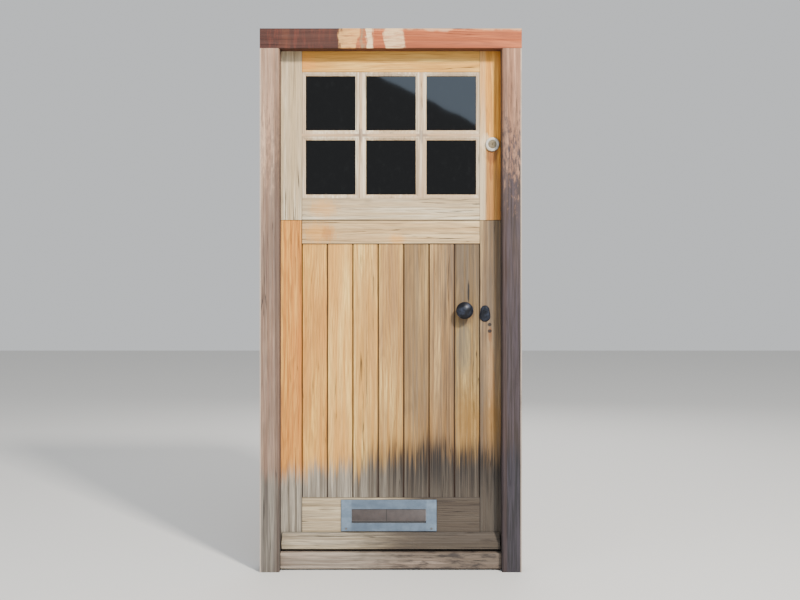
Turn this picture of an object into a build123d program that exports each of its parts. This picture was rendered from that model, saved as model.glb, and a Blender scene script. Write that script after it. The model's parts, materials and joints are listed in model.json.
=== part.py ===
from build123d import *
import math
import os

# A stable door of oak with its frame, in millimetres. The door is seen from outside along +Y: +X is to
# the right, +Y goes indoors and +Z is up. The origin is on the sill's underside, in the middle of the
# doorway and halfway through the frame. Two leaves hang on the left and open indoors. At rest both are
# shut and every bolt is drawn, as if the knob and the latch turn were held.

# Leaves
leaf_width = 864.0
leaf_thickness = 45.0
lower_leaf_height = 1261.5
upper_leaf_height = 658.5
leaf_edge_gap = 3.0
meeting_gap = 2.0
sill_gap = 4.0
stop_gap = 1.5

# Frame
frame_depth = 105.0
jamb_face = 75.0
head_face = 75.0
rebate = 13.0
arris = 5.0
head_tenon = (42.0, 34.0, 52.0)
peg_radius = 6.0
peg_spread = 12.0
peg_rise = 20.0
peg_blind = 14.0
fixing_hole_radius = 5.0
fixing_hole_inset = 22.5
fixing_holes_low = 250.0
fixing_holes_pitch = 500.0
fixing_holes = 4

# Sill
sill_height = 72.0
sill_fall = 6.0
sill_nose = 35.0
sill_nose_round = 3.0
sill_undercut = (12.0, 8.0)
sill_tenon = (20.0, 26.0, 40.0)
sill_tenon_rise = 15.0

# Joinery of the leaves
stile_width = 89.5
rail_width = 89.5
tenon_inset = 21.0
tenon_thickness = 15.0
tenon_shoulder = 15.0
wedge_length = 60.0
wedge_wide_end = 6.0
wedge_thin_end = 1.0

# Glazing of the upper leaf
glazing_rail_width = 84.0
glazing_rebate = 14.0
glass_setback = 14.5
glass_thickness = 4.0
glass_play = 1.5
upright_bar_width = 41.0
cross_bar_width = 38.0
bar_setback = 1.5
bar_chamfer = 6.0
bar_tenon = (12.0, 9.0)
bar_tenon_inset = 3.0
upright_tenon_length = 20.0
cross_tenon_length = 8.0
bead_setback = 2.5
bead_slope = 6.0
bead_square = 4.0

# Boards of the lower leaf
bottom_rail_width = 195.5
board_count = 7
board_thickness = 20.0
board_setback = 3.0
board_joint_gap = 0.6
board_v = 4.0
tongue_thickness = 8.0
tongue_length = 9.0
groove_depth = 10.0
groove_play = 0.2
lock_rail_width = 160.0
brace_width = 95.0

# Weatherboard
weatherboard_bottom = 80.0
weatherboard_top = 140.0
weatherboard_proud = 30.0
weatherboard_face = 26.0
weatherboard_top_depth = 6.0
weatherboard_hollow = 2.0
weatherboard_end_gap = 4.0
drip_groove = (6.0, 5.0, 6.5)

# Hinges
hinge_length = 100.0
hinge_knuckle_radius = 6.0
hinge_pin_radius = 3.0
hinge_pin_head = (4.2, 3.0)
hinge_bore_play = 0.08
hinge_flap_width = 36.0
hinge_flap_thickness = 2.5
hinge_flap_gap = 0.6
hinge_axis_inset = 6.3
hinge_knuckles = 5
hinge_knuckle_gap = 0.3
hinge_sweep_gap = 0.3
lower_hinge_insets = (264.0, 187.5)
upper_hinge_insets = (140.5, 158.0)

# Letter plate
letter_centre = -8.0
letter_plate_size = (368.0, 122.0)
letter_plate_gap = 2.0
letter_plate_thickness = 5.0
letter_plate_bevel = 2.0
letter_window_size = (286.0, 54.0)
letter_window_rise = 32.0
letter_flap_play = 0.5
letter_flap_thickness = 3.0
letter_flap_bottom_gap = 7.0
letter_flap_lip = (2.2, 4.0)
letter_barrel_radius = 4.5
letter_pin_radius = 2.5
letter_pin_inset = 5.5
letter_pin_play = 0.08
letter_lug_thickness = 6.0
letter_lug_gap = 1.0
letter_slot_margin = 3.0

# Rim lock and its keep
lock_centre_height = 985.0
lock_size = (202.0, 22.0, 120.0)
lock_wall = 2.0
lock_edge_setback = 2.0
bolt_play = 0.2
bolt_inset = 3.5
bolt_thickness = 12.0
latch_height = 20.0
latch_bevel = 10.0
latch_length = 118.0
dead_height = 20.0
dead_drop = 39.0
dead_length = 92.0
talon = (14.0, 6.0, 64.0)
keep_gap = 1.0
keep_width = 50.0
keep_web = 4.0

# Knob and its follower
knob_inset = 150.0
knob_rise = 7.0
knob_radius = 33.0
knob_stand = 50.0
knob_neck_radius = 9.0
knob_neck_play = 0.5
knob_foot_gap = 0.4
inner_knob_radius = 28.0
inner_knob_stand = 44.0
rose_radius = 25.0
rose_thickness = 4.0
spindle_side = 8.0
spindle_socket = 26.0
spindle_hole_radius = 7.0
follower_radius = 10.0
follower_arm = 17.5
follower_tip_radius = 4.0
follower_arm_width = 4.0
follower_turn = 40.0
follower_notch_play = 0.6
tail_thickness = 4.0
tail_length = 44.0

# Keyhole
keyhole_inset = 70.0
keyhole_drop = 13.0
keyhole_radius = 4.5
keyhole_slot = (5.0, 15.0)
key_mortise = (10.0, 26.0)
key_mortise_rise = 8.0
key_plate_radius = 21.0
key_plate_thickness = 2.0
key_plate_rise = 21.0
key_plate_top_radius = 17.0
key_cover_radius = 18.0
key_cover_top_radius = 14.0
key_cover_thickness = 3.5
key_cover_gap = 0.3
key_cover_dome = 1.2
key_rivet_radius = 3.0
key_rivet_head = (5.5, 2.0)
key_rivet_play = 0.08

# Night latch
night_inset = 42.0
night_rise = 290.5
night_case_size = (87.0, 27.0, 66.0)
night_rose_radius = 27.0
night_rose_thickness = 8.0
night_rose_round = 3.0
night_rose_play = 0.1
night_cylinder_radius = 16.0
night_cylinder_proud = 5.5
night_cylinder_inset = 2.0
night_plug_radius = 7.0
night_plug_play = 0.08
night_plug_length = 38.0
night_keyway = (2.4, 9.0, 8.0)
night_bar = (5.0, 2.0)
night_bolt_head = (28.0, 14.0)
night_bolt_inset = 8.0
night_bolt_height = (-10.0, 26.0)
night_turn_radius = 14.0
night_turn_stand = 20.0
night_hub_bore = 4.0

# Link bolt that holds the leaves together
link_inset = 45.0
link_plate_size = (34.0, 130.0)
link_plate_thickness = 2.5
link_plate_rise = 5.5
link_rod_radius = 5.0
link_rod_play = 0.1
link_rod_length = 129.0
link_rod_stand = 7.0
link_guide_size = (20.0, 14.0)
link_guide_wall = 3.0
link_guide_inset = 12.0
link_handle_rise = 82.0
link_handle_radius = 3.5
link_handle_length = 20.0
link_handle_ball = 7.0
link_keep_drop = 3.0
link_keep_height = 24.0
link_keep_play = 0.6

# Places that follow from the sizes above
half_leaf = leaf_width / 2
y_inside = frame_depth / 2
y_outside = -frame_depth / 2
y_leaf = y_inside - leaf_thickness
y_stop = y_leaf - stop_gap
x_wall = half_leaf + leaf_edge_gap
x_nib = x_wall - rebate
x_outer = x_nib + jamb_face
x_stile = half_leaf - stile_width
z_lower = sill_height + sill_gap
z_lower_top = z_lower + lower_leaf_height
z_upper = z_lower_top + meeting_gap
z_upper_top = z_upper + upper_leaf_height
z_head_wall = z_upper_top + leaf_edge_gap
z_head = z_head_wall - rebate
z_top = z_head + head_face
y_tenon = y_leaf + tenon_inset
y_tenon_back = y_tenon + tenon_thickness
x_hinge = -(half_leaf + leaf_edge_gap / 2)
y_hinge = y_inside + hinge_axis_inset
y_axis = (0, 1, 0)
lower_hinges = (z_lower + lower_hinge_insets[0], z_lower_top - lower_hinge_insets[1])
upper_hinges = (z_upper + upper_hinge_insets[0], z_upper_top - upper_hinge_insets[1])
z_lock_rail = lock_centre_height - lock_rail_width / 2
z_lock_rail_top = lock_centre_height + lock_rail_width / 2
knob_centre = (half_leaf - knob_inset, lock_centre_height + knob_rise)
keyhole_centre = (half_leaf - keyhole_inset, lock_centre_height - keyhole_drop)
night_centre = (half_leaf - night_inset, z_upper + night_rise)
link_centre = half_leaf - link_inset


def block(x0, x1, y0, y1, z0, z1):
    """A squared piece between two limits on each axis, in either order."""
    size = Box(abs(x1 - x0), abs(y1 - y0), abs(z1 - z0))
    return Pos((x0 + x1) / 2, (y0 + y1) / 2, (z0 + z1) / 2) * size


def outline(place, start, *steps):
    """A flat face. A step is the next corner, or a pair of points for an arc through the first of them."""
    edges = []
    here = start
    for step in (*steps, start):
        if isinstance(step[0], tuple):
            middle, end = step
            edges.append(Edge.make_three_point_arc(place(here), place(middle), place(end)))
            here = end
        elif step != here:
            edges.append(Edge.make_line(place(here), place(step)))
            here = step
    return Face(Wire(edges))


def along_x(x0, x1, start, *steps):
    """A bar along X whose section is given as (y, z)."""
    face = outline(lambda point: Vector(x0, point[0], point[1]), start, *steps)
    return Solid.extrude(face, Vector(x1 - x0, 0, 0))


def along_y(y0, y1, start, *steps):
    """A piece along Y whose section is given as (x, z)."""
    face = outline(lambda point: Vector(point[0], y0, point[1]), start, *steps)
    return Solid.extrude(face, Vector(0, y1 - y0, 0))


def along_z(z0, z1, start, *steps):
    """A bar along Z whose section is given as (x, y)."""
    face = outline(lambda point: Vector(point[0], point[1], z0), start, *steps)
    return Solid.extrude(face, Vector(0, 0, z1 - z0))


def turned(centre, start, *steps):
    """A turned piece on an axis along Y through (x, z). Its half section is given as (radius, y)."""
    face = outline(lambda point: Vector(centre[0] + point[0], point[1], centre[1]), start, *steps)
    return Solid.revolve(face, 360, Axis((centre[0], 0, centre[1]), y_axis))


def rod_x(y, z, radius, x0, x1):
    """A round rod along X."""
    return Solid.make_cylinder(radius, x1 - x0, Plane((x0, y, z), z_dir=(1, 0, 0)))


def rod_y(centre, radius, y0, y1):
    """A round rod along Y through (x, z)."""
    return Solid.make_cylinder(radius, y1 - y0, Plane((centre[0], y0, centre[1]), z_dir=y_axis))


def rod_z(x, y, radius, z0, z1):
    """A round rod along Z."""
    return Solid.make_cylinder(radius, z1 - z0, Plane((x, y, z0), z_dir=(0, 0, 1)))


def cut(piece, *tools):
    """A piece less each of the tools."""
    for tool in tools:
        piece = piece - tool
    return piece


def joined(piece, *others):
    """A piece and the others as one solid."""
    for other in others:
        piece = piece + other
    return piece


def node(name, *shapes):
    """Write one named piece, or one group of like pieces, as a STEP file."""
    solids = [solid for shape in shapes for solid in shape.solids()]
    export_step(solids[0] if len(solids) == 1 else Compound(solids), f"parts/{name}.step")


# Frame: head and jambs

def head_tenon_block(side):
    """The tenon on a jamb's top, which fills its mortise in the head."""
    width, thickness, length = head_tenon
    x = side * (x_wall + x_outer) / 2
    return block(x - width / 2, x + width / 2, -thickness / 2, thickness / 2, z_head, z_head + length)


def head_pegs():
    """Two draw-bore pegs through each of the head's joints, driven from indoors and blind outside."""
    pegs = []
    for side in (-1, 1):
        for step in (-1, 1):
            x = side * (x_wall + x_outer) / 2 + step * peg_spread
            z = z_head + peg_rise + (step + 1) / 2 * peg_spread
            pegs.append(rod_y((x, z), peg_radius, y_outside + peg_blind, y_inside))
    return pegs


def head():
    """The head runs over both jambs, with a rebate between them for the upper leaf."""
    timber = block(-x_outer, x_outer, y_outside, y_inside, z_head, z_top)
    leaf_rebate = block(-x_wall, x_wall, y_stop, y_inside, z_head, z_head_wall)
    return cut(timber, leaf_rebate, head_tenon_block(-1), head_tenon_block(1), *head_pegs())


def sill_tenon_block(side):
    """The stub tenon on the sill's end."""
    length, thickness, height = sill_tenon
    z = sill_tenon_rise
    return block(side * x_nib, side * (x_nib + length), -thickness / 2, thickness / 2, z, z + height)


def jamb(side):
    """A rebated jamb with a softened outer arris, a tenon at its top and holes for frame fixings."""
    timber = along_z(
        0, z_head,
        (side * (x_nib + arris), y_outside), (side * x_outer, y_outside), (side * x_outer, y_inside),
        (side * x_wall, y_inside), (side * x_wall, y_stop), (side * x_nib, y_stop),
        (side * x_nib, y_outside + arris),
    )
    timber = joined(timber, head_tenon_block(side))
    holes = [
        rod_x(y_inside - fixing_hole_inset, fixing_holes_low + number * fixing_holes_pitch,
              fixing_hole_radius, min(side * x_nib, side * x_outer), max(side * x_nib, side * x_outer))
        for number in range(fixing_holes)
    ]
    return cut(timber, *holes, *head_pegs(), sill_tenon_block(side))


# Frame: sill

def sill():
    """The sill sits between the jambs. Its nose stands proud, falls outwards and is undercut."""
    nose = y_leaf - sill_nose
    recess, height = sill_undercut
    low = sill_height - sill_fall
    profile = (
        (nose + recess, 0), (y_stop, 0), (y_stop, sill_height), (nose + sill_nose_round, low),
        (nose, low - sill_nose_round), (nose, height), (nose + recess, height),
    )
    front = along_x(-x_nib, x_nib, *profile)
    back = block(-x_wall, x_wall, y_stop, y_inside, 0, sill_height)
    return joined(front, back, sill_tenon_block(-1), sill_tenon_block(1))


# Hinges

def knuckle_rings(middle, numbers, radius, spare):
    """Cylinders on the hinge's axis over the numbered knuckles, longer by a spare length at both ends."""
    length = (hinge_length - (hinge_knuckles - 1) * hinge_knuckle_gap) / hinge_knuckles
    pitch = length + hinge_knuckle_gap
    start = middle - hinge_length / 2
    return [
        rod_z(x_hinge, y_hinge, radius, low - spare, low + length + spare)
        for low in (start + number * pitch for number in numbers)
    ]


def hinge_flap(middle, side, numbers, others, bore):
    """One half of a butt hinge: a flap and its knuckles, clear of the other half's knuckles."""
    inner = x_hinge + side * hinge_flap_gap / 2
    outer = inner + side * hinge_flap_thickness
    low, high = middle - hinge_length / 2, middle + hinge_length / 2
    flap = block(inner, outer, y_inside - hinge_flap_width + hinge_axis_inset, y_hinge, low, high)
    sweep = hinge_knuckle_radius + hinge_sweep_gap
    flap = cut(flap, *knuckle_rings(middle, others, sweep, hinge_knuckle_gap))
    flap = joined(flap, *knuckle_rings(middle, numbers, hinge_knuckle_radius, 0))
    return cut(flap, rod_z(x_hinge, y_hinge, bore, low, high))


def frame_flap(middle):
    """The half on the jamb, with the first, third and fifth knuckles."""
    odd, even = range(0, hinge_knuckles, 2), range(1, hinge_knuckles, 2)
    return hinge_flap(middle, -1, odd, even, hinge_pin_radius)


def leaf_flap(middle):
    """The half on the leaf, with the knuckles between."""
    bore = hinge_pin_radius + hinge_bore_play
    return hinge_flap(middle, 1, range(1, hinge_knuckles, 2), range(0, hinge_knuckles, 2), bore)


def hinge_pin(middle):
    """A loose pin with a button head on the top knuckle."""
    radius, height = hinge_pin_head
    top = middle + hinge_length / 2
    return joined(
        rod_z(x_hinge, y_hinge, hinge_pin_radius, middle - hinge_length / 2, top),
        rod_z(x_hinge, y_hinge, radius, top, top + height),
    )


def flap_housing(middle, side):
    """The shallow housing that a flap is let into, in the jamb (-1) or in the leaf's edge (1)."""
    depth = hinge_flap_gap / 2 + hinge_flap_thickness
    y_deep = y_inside + hinge_axis_inset - hinge_flap_width
    return block(x_hinge, x_hinge + side * depth, y_deep, y_inside + 1,
                 middle - hinge_length / 2, middle + hinge_length / 2)


def leaf_housings(middles):
    """The housings of a leaf's hinges, cut once the leaf is wedged up, so through its tenons as well."""
    return [flap_housing(middle, 1) for middle in middles]


# Joints of the leaves

def through_tenon(side, z0, z1, y0=y_tenon, y1=y_tenon_back):
    """A rail's tenon, right through the stile."""
    return block(side * x_stile, side * half_leaf, y0, y1, z0, z1)


def wedges(side, z0, z1, y0=y_tenon, y1=y_tenon_back):
    """The two wedges that spread a through tenon, above and below it."""
    edge = side * half_leaf
    end = side * (half_leaf - wedge_length)
    return [
        along_y(y0, y1, (edge, z), (edge, z + way * wedge_wide_end),
                (end, z + way * wedge_thin_end), (end, z))
        for z, way in ((z1, 1), (z0, -1))
    ]


def joint_cuts(side, z0, z1, y0=y_tenon, y1=y_tenon_back):
    """What a stile loses to one wedged tenon."""
    return [through_tenon(side, z0, z1, y0, y1), *wedges(side, z0, z1, y0, y1)]


# Upper leaf: panes and what frames them

x_sight = x_stile - glazing_rebate
y_glass = y_leaf + glass_setback
y_glass_back = y_glass + glass_thickness
y_bar_tenon = y_glass_back + bar_tenon_inset
z_glazing_rail = z_upper + glazing_rail_width
z_top_rail = z_upper_top - rail_width
z_sight = z_glazing_rail + glazing_rebate
z_sight_top = z_top_rail - glazing_rebate
pane_width = (2 * x_sight - 2 * upright_bar_width) / 3
pane_height = (z_sight_top - z_sight - cross_bar_width) / 2
upright_centres = [side * (pane_width + upright_bar_width) / 2 for side in (-1, 1)]
cross_centre = z_sight + pane_height + cross_bar_width / 2
upper_joints = (
    (z_upper + tenon_shoulder, z_glazing_rail - tenon_shoulder),
    (z_top_rail + tenon_shoulder, z_upper_top - tenon_shoulder),
)


def pane_openings():
    """The six sight openings as (x0, x1, z0, z1), row by row from the bottom left."""
    openings = []
    for row in range(2):
        z = z_sight + row * (pane_height + cross_bar_width)
        for column in range(3):
            x = -x_sight + column * (pane_width + upright_bar_width)
            openings.append((x, x + pane_width, z, z + pane_height))
    return openings


def rectangle(opening, grow, y):
    """An opening's outline, grown by a margin, in the plane at y."""
    left, right, bottom, top = opening[0] - grow, opening[1] + grow, opening[2] - grow, opening[3] + grow
    corners = ((left, bottom), (right, bottom), (right, top), (left, top))
    return Wire.make_polygon([(x, y, z) for x, z in corners])


def splayed_void(opening, y0, grow0, y1, grow1):
    """The space of an opening whose four sides are splayed."""
    return Solid.make_loft([rectangle(opening, grow0, y0), rectangle(opening, grow1, y1)], ruled=True)


def moulding_voids():
    """What the chamfer on the inner arris takes from the timbers round each pane."""
    return [
        splayed_void(opening, y_inside - bar_chamfer, 0, y_inside + 1, bar_chamfer + 1)
        for opening in pane_openings()
    ]


def upright_tenons(centre):
    """The stub tenons at both ends of an upright bar, as one block through its length."""
    thickness, half = bar_tenon[0], bar_tenon[1] / 2
    return block(centre - half, centre + half, y_bar_tenon, y_bar_tenon + thickness,
                 z_sight - upright_tenon_length, z_sight_top + upright_tenon_length)


def cross_tenon(x0, x1):
    """The stub tenons at both ends of a cross bar, as one block through its length."""
    thickness, half = bar_tenon[0], bar_tenon[1] / 2
    return block(x0 - cross_tenon_length, x1 + cross_tenon_length, y_bar_tenon, y_bar_tenon + thickness,
                 cross_centre - half, cross_centre + half)


def cross_spans():
    """Where each of the three cross bars runs between its shoulders indoors."""
    return [opening[:2] for opening in pane_openings()[:3]]


def upper_stile(side):
    """A stile of the upper leaf, rebated from outside for the panes."""
    timber = along_z(
        z_upper, z_upper_top,
        (side * x_stile, y_leaf), (side * half_leaf, y_leaf), (side * half_leaf, y_inside),
        (side * x_sight, y_inside), (side * x_sight, y_glass_back), (side * x_stile, y_glass_back),
    )
    cuts = moulding_voids() + [cross_tenon(*span) for span in cross_spans()]
    for low, high in upper_joints:
        cuts += joint_cuts(side, low, high)
        cuts.append(block(side * x_sight, side * x_stile, y_tenon, y_tenon_back, low, high))
    if side < 0:
        cuts += leaf_housings(upper_hinges)
    else:
        cuts.append(rod_y(night_centre, night_cylinder_radius, y_leaf, y_inside))
    return cut(timber, *cuts)


def upper_rail(z_edge, z_inner, z_outer, joint):
    """A rail of the upper leaf. Its shoulders are stepped where the stiles are rebated."""
    outside = block(-x_stile, x_stile, y_leaf, y_glass_back, z_edge, z_outer)
    inside = block(-x_sight, x_sight, y_glass_back, y_inside, z_inner, z_outer)
    tenons = block(-half_leaf, half_leaf, y_tenon, y_tenon_back, *joint)
    mortises = [upright_tenons(centre) for centre in upright_centres]
    rail = cut(joined(outside, inside, tenons), *moulding_voids(), *mortises)
    return cut(rail, *leaf_housings(upper_hinges))


def upright_bar(centre):
    """An upright glazing bar: a narrow fin between the panes outside, and the full width indoors."""
    fin = upright_bar_width / 2 - glazing_rebate
    half = upright_bar_width / 2
    outside = block(centre - fin, centre + fin, y_leaf + bar_setback, y_glass_back,
                    z_glazing_rail, z_top_rail)
    inside = block(centre - half, centre + half, y_glass_back, y_inside, z_sight, z_sight_top)
    bar = joined(outside, inside, upright_tenons(centre))
    return cut(bar, *moulding_voids(), *[cross_tenon(*span) for span in cross_spans()])


def cross_bar(x0, x1):
    """A short cross bar, stub tenoned into what stands on both sides of it."""
    fin = cross_bar_width / 2 - glazing_rebate
    half = cross_bar_width / 2
    outside = block(x0 - glazing_rebate, x1 + glazing_rebate, y_leaf + bar_setback, y_glass_back,
                    cross_centre - fin, cross_centre + fin)
    inside = block(x0, x1, y_glass_back, y_inside, cross_centre - half, cross_centre + half)
    return cut(joined(outside, inside, cross_tenon(x0, x1)), *moulding_voids())


def pane(opening):
    """A pane of plain glass with a little play in its rebate."""
    x0, x1, z0, z1 = opening
    grow = glazing_rebate - glass_play
    return block(x0 - grow, x1 + grow, y_glass, y_glass_back, z0 - grow, z1 + grow)


def beads(opening):
    """Four mitred beads that hold a pane from outside, splayed towards the glass."""
    x0, x1, z0, z1 = opening
    front = y_leaf + bead_setback
    grow = glazing_rebate
    corners = [(x0, z0), (x1, z0), (x1, z1), (x0, z1)]
    low, high = z0 - grow, z1 + grow
    rebate_corners = [(x0 - grow, low), (x1 + grow, low), (x1 + grow, high), (x0 - grow, high)]
    splay = splayed_void(opening, front - 1, grow - bead_square + 1, front + bead_slope, 0)
    beads_round = []
    for number in range(4):
        here, following = number, (number + 1) % 4
        bead = along_y(front, y_glass, rebate_corners[here], rebate_corners[following],
                       corners[following], corners[here])
        beads_round.append(cut(bead, splay))
    return beads_round


# Lower leaf: framing

z_boards = z_lower + bottom_rail_width
z_boards_top = z_lower_top - rail_width
y_board = y_leaf + board_setback
y_board_back = y_board + board_thickness
y_tongue = y_board + (board_thickness - tongue_thickness) / 2
y_tongue_back = y_tongue + tongue_thickness
board_cover = 2 * x_stile / board_count
lower_joints = (
    (z_lower + tenon_shoulder, z_boards - groove_depth - tenon_shoulder),
    (z_boards_top + groove_depth + tenon_shoulder / 2, z_lower_top - tenon_shoulder),
)
lock_joint = (z_lock_rail + tenon_shoulder, z_lock_rail_top - tenon_shoulder)


def board_groove():
    """The groove round the framing that takes the boards' tongues, as one flat space."""
    return block(-x_stile - groove_depth, x_stile + groove_depth, y_tongue, y_tongue_back,
                 z_boards - groove_depth, z_boards_top + groove_depth)


def key_cut():
    """The mortise that lets a key through the timber."""
    width, height = key_mortise
    x, z = keyhole_centre
    top = z + key_mortise_rise
    return block(x - width / 2, x + width / 2, y_leaf, y_inside, top - height, top)


def lower_stile(side):
    """A stile of the lower leaf, grooved for the boards."""
    timber = block(side * x_stile, side * half_leaf, y_leaf, y_inside, z_lower, z_lower_top)
    cuts = [board_groove()]
    for low, high in lower_joints:
        cuts += joint_cuts(side, low, high)
    cuts += joint_cuts(side, *lock_joint, y_board_back, y_tenon_back)
    if side < 0:
        cuts += leaf_housings(lower_hinges)
    else:
        cuts.append(key_cut())
    return cut(timber, *cuts)


def lower_rail(z0, z1, joint):
    """A rail of the lower leaf at full thickness."""
    timber = block(-x_stile, x_stile, y_leaf, y_inside, z0, z1)
    tenons = block(-half_leaf, half_leaf, y_tenon, y_tenon_back, *joint)
    return cut(joined(timber, tenons), board_groove(), *leaf_housings(lower_hinges))


def lock_rail():
    """The thinner rail behind the boards, which carries the lock."""
    timber = block(-x_stile, x_stile, y_board_back, y_inside, z_lock_rail, z_lock_rail_top)
    tenons = block(-half_leaf, half_leaf, y_board_back, y_tenon_back, *lock_joint)
    return cut(joined(timber, tenons), spindle_hole(), key_cut(), *leaf_housings(lower_hinges))


def brace():
    """The brace behind the boards rises from the hinge side's foot to the lock rail."""
    width, height = 2 * x_stile, z_lock_rail - z_boards
    turn = math.degrees(math.atan2(height, width))
    middle_z = z_boards + height / 2
    thickness = y_inside - y_board_back
    length = math.hypot(width, height) + 2 * brace_width
    timber = Box(length, thickness, brace_width)
    timber = Pos(0, y_board_back + thickness / 2, middle_z) * Rot(0, -turn, 0) * timber
    return timber & block(-x_stile, x_stile, y_board_back, y_inside, z_boards, z_lock_rail)


# Lower leaf: boards

def board(number):
    """A tongued and grooved board with a V joint. Its ends are tongued into the rails."""
    gap = board_joint_gap / 2
    left = -x_stile + number * board_cover + gap
    right = -x_stile + (number + 1) * board_cover - gap
    body = along_z(
        z_boards, z_boards_top,
        (left + board_v, y_board), (right - board_v, y_board), (right, y_board + board_v),
        (right, y_board_back), (left, y_board_back), (left, y_board + board_v),
    )
    ends = block(left, right, y_tongue, y_tongue_back,
                 z_boards - tongue_length, z_boards_top + tongue_length)
    tongue = block(right, right + tongue_length, y_tongue, y_tongue_back, z_boards, z_boards_top)
    body = joined(body, ends, tongue)
    if number == 0:
        first_tongue = block(left - tongue_length, left, y_tongue, y_tongue_back, z_boards, z_boards_top)
        body = joined(body, first_tongue)
    else:
        groove = block(left, left + groove_depth, y_tongue - groove_play, y_tongue_back + groove_play,
                       z_boards - tongue_length, z_boards_top + tongue_length)
        body = cut(body, groove)
    return cut(body, spindle_hole()) if left < knob_centre[0] < right else body


# Lower leaf: weatherboard

def weatherboard():
    """A moulded board that throws rain clear of the sill, with a drip groove below."""
    front = y_leaf - weatherboard_proud
    shoulder = weatherboard_bottom + weatherboard_face
    lip = y_leaf - weatherboard_top_depth
    groove_inset, groove_depth_up, groove_width = drip_groove
    groove = front + groove_inset
    middle_y = (front + lip) / 2 + weatherboard_hollow
    middle_z = (shoulder + weatherboard_top) / 2 - weatherboard_hollow
    end = x_nib - weatherboard_end_gap
    return along_x(
        -end, end,
        (y_leaf, weatherboard_bottom), (groove + groove_width, weatherboard_bottom),
        (groove + groove_width, weatherboard_bottom + groove_depth_up),
        (groove, weatherboard_bottom + groove_depth_up), (groove, weatherboard_bottom),
        (front, weatherboard_bottom), (front, shoulder), ((middle_y, middle_z), (lip, weatherboard_top)),
        (y_leaf, weatherboard_top),
    )


# Letter plate and flap

z_letter = weatherboard_top + letter_plate_gap
z_window = z_letter + letter_window_rise
z_window_top = z_window + letter_window_size[1]
y_letter = y_leaf - letter_plate_thickness
y_letter_pin = y_leaf + letter_pin_inset
z_letter_pin = z_window_top - letter_flap_play
half_window = letter_window_size[0] / 2
half_flap = half_window - letter_flap_play
x_lug = half_flap + letter_lug_gap


def letter_slot():
    """The slot through the bottom rail, clear of the flap and its lugs."""
    half = x_lug + letter_lug_thickness + letter_slot_margin
    return block(letter_centre - half, letter_centre + half, y_leaf, y_inside,
                 z_window - letter_slot_margin, z_letter_pin + letter_barrel_radius + letter_slot_margin)


def letter_pin():
    """The steel pin that the flap turns on."""
    half = x_lug + letter_lug_thickness
    return rod_x(y_letter_pin, z_letter_pin, letter_pin_radius, letter_centre - half, letter_centre + half)


def letter_plate():
    """A bevelled metal plate with a window, and two lugs behind it for the flap's pin."""
    width, height = letter_plate_size
    x0, x1 = letter_centre - width / 2, letter_centre + width / 2
    opening = (x0, x1, z_letter, z_letter + height)
    plate = joined(
        block(x0, x1, y_letter + letter_plate_bevel, y_leaf, z_letter, z_letter + height),
        splayed_void(opening, y_letter + letter_plate_bevel, 0, y_letter, -letter_plate_bevel),
    )
    window = block(letter_centre - half_window, letter_centre + half_window, y_letter, y_leaf,
                   z_window, z_window_top)
    plate = cut(plate, window)
    reach = letter_barrel_radius
    for side in (-1, 1):
        lug = block(letter_centre + side * x_lug, letter_centre + side * (x_lug + letter_lug_thickness),
                    y_leaf, y_letter_pin + reach, z_letter_pin - reach, z_letter_pin + reach)
        plate = joined(plate, lug)
    return cut(plate, letter_pin())


def letter_flap():
    """The flap hangs from a rolled barrel. A lip along its foot gives the fingers a hold."""
    front = y_leaf - letter_flap_thickness
    low = z_window + letter_flap_bottom_gap
    top = z_letter_pin
    lip_depth, lip_height = letter_flap_lip
    x0, x1 = letter_centre - half_flap, letter_centre + half_flap
    sheet = along_x(
        x0, x1,
        (front, top), (y_letter_pin, top), (y_letter_pin, top - letter_flap_thickness),
        (y_leaf, top - letter_flap_thickness), (y_leaf, low), (front - lip_depth, low),
        (front - lip_depth, low + lip_height), (front, low + lip_height),
    )
    barrel = rod_x(y_letter_pin, z_letter_pin, letter_barrel_radius, x0, x1)
    bore = rod_x(y_letter_pin, z_letter_pin, letter_pin_radius + letter_pin_play, x0, x1)
    return cut(joined(sheet, barrel), bore)


# Rim lock: case, bolts and keep

x_lock_edge = half_leaf - lock_edge_setback
x_lock_back = x_lock_edge - lock_size[0]
y_lock = y_inside + lock_size[1]
z_lock = lock_centre_height - lock_size[2] / 2
z_lock_top = lock_centre_height + lock_size[2] / 2
y_bolt = y_inside + bolt_inset
y_bolt_back = y_bolt + bolt_thickness
z_latch = knob_centre[1] + follower_radius + follower_notch_play
z_dead = knob_centre[1] - dead_drop - follower_radius
keep_start = x_wall + keep_gap


def thin_case(x0, x1, y1, z0, z1, wall):
    """A pressed case on the inner face, open at its back against the timber."""
    shell = block(x0, x1, y_inside, y1, z0, z1)
    shell = chamfer(shell.edges().filter_by(Axis.X).sort_by(Axis.Y)[-2:], wall - 0.5)
    return cut(shell, block(x0 + wall, x1 - wall, y_inside, y1 - wall, z0 + wall, z1 - wall))


def latch_bolt():
    """The spring latch: a bevelled head, and a tail that is forked round the follower's tip."""
    tip = x_lock_edge
    back = tip - latch_length
    head_part = along_z(
        z_latch, z_latch + latch_height,
        (back, y_bolt), (tip - latch_bevel, y_bolt), (tip, y_bolt + latch_bevel), (tip, y_bolt_back),
        (back, y_bolt_back),
    )
    return joined(head_part, forked_tail(knob_centre, back, z_latch, z_latch + latch_height, y_bolt))


def follower_start(centre):
    """Where a follower's tip stands at rest, with the bolt drawn."""
    lean = math.radians(follower_turn / 2)
    return centre[0] - follower_arm * math.sin(lean), centre[1] + follower_arm * math.cos(lean)


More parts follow.
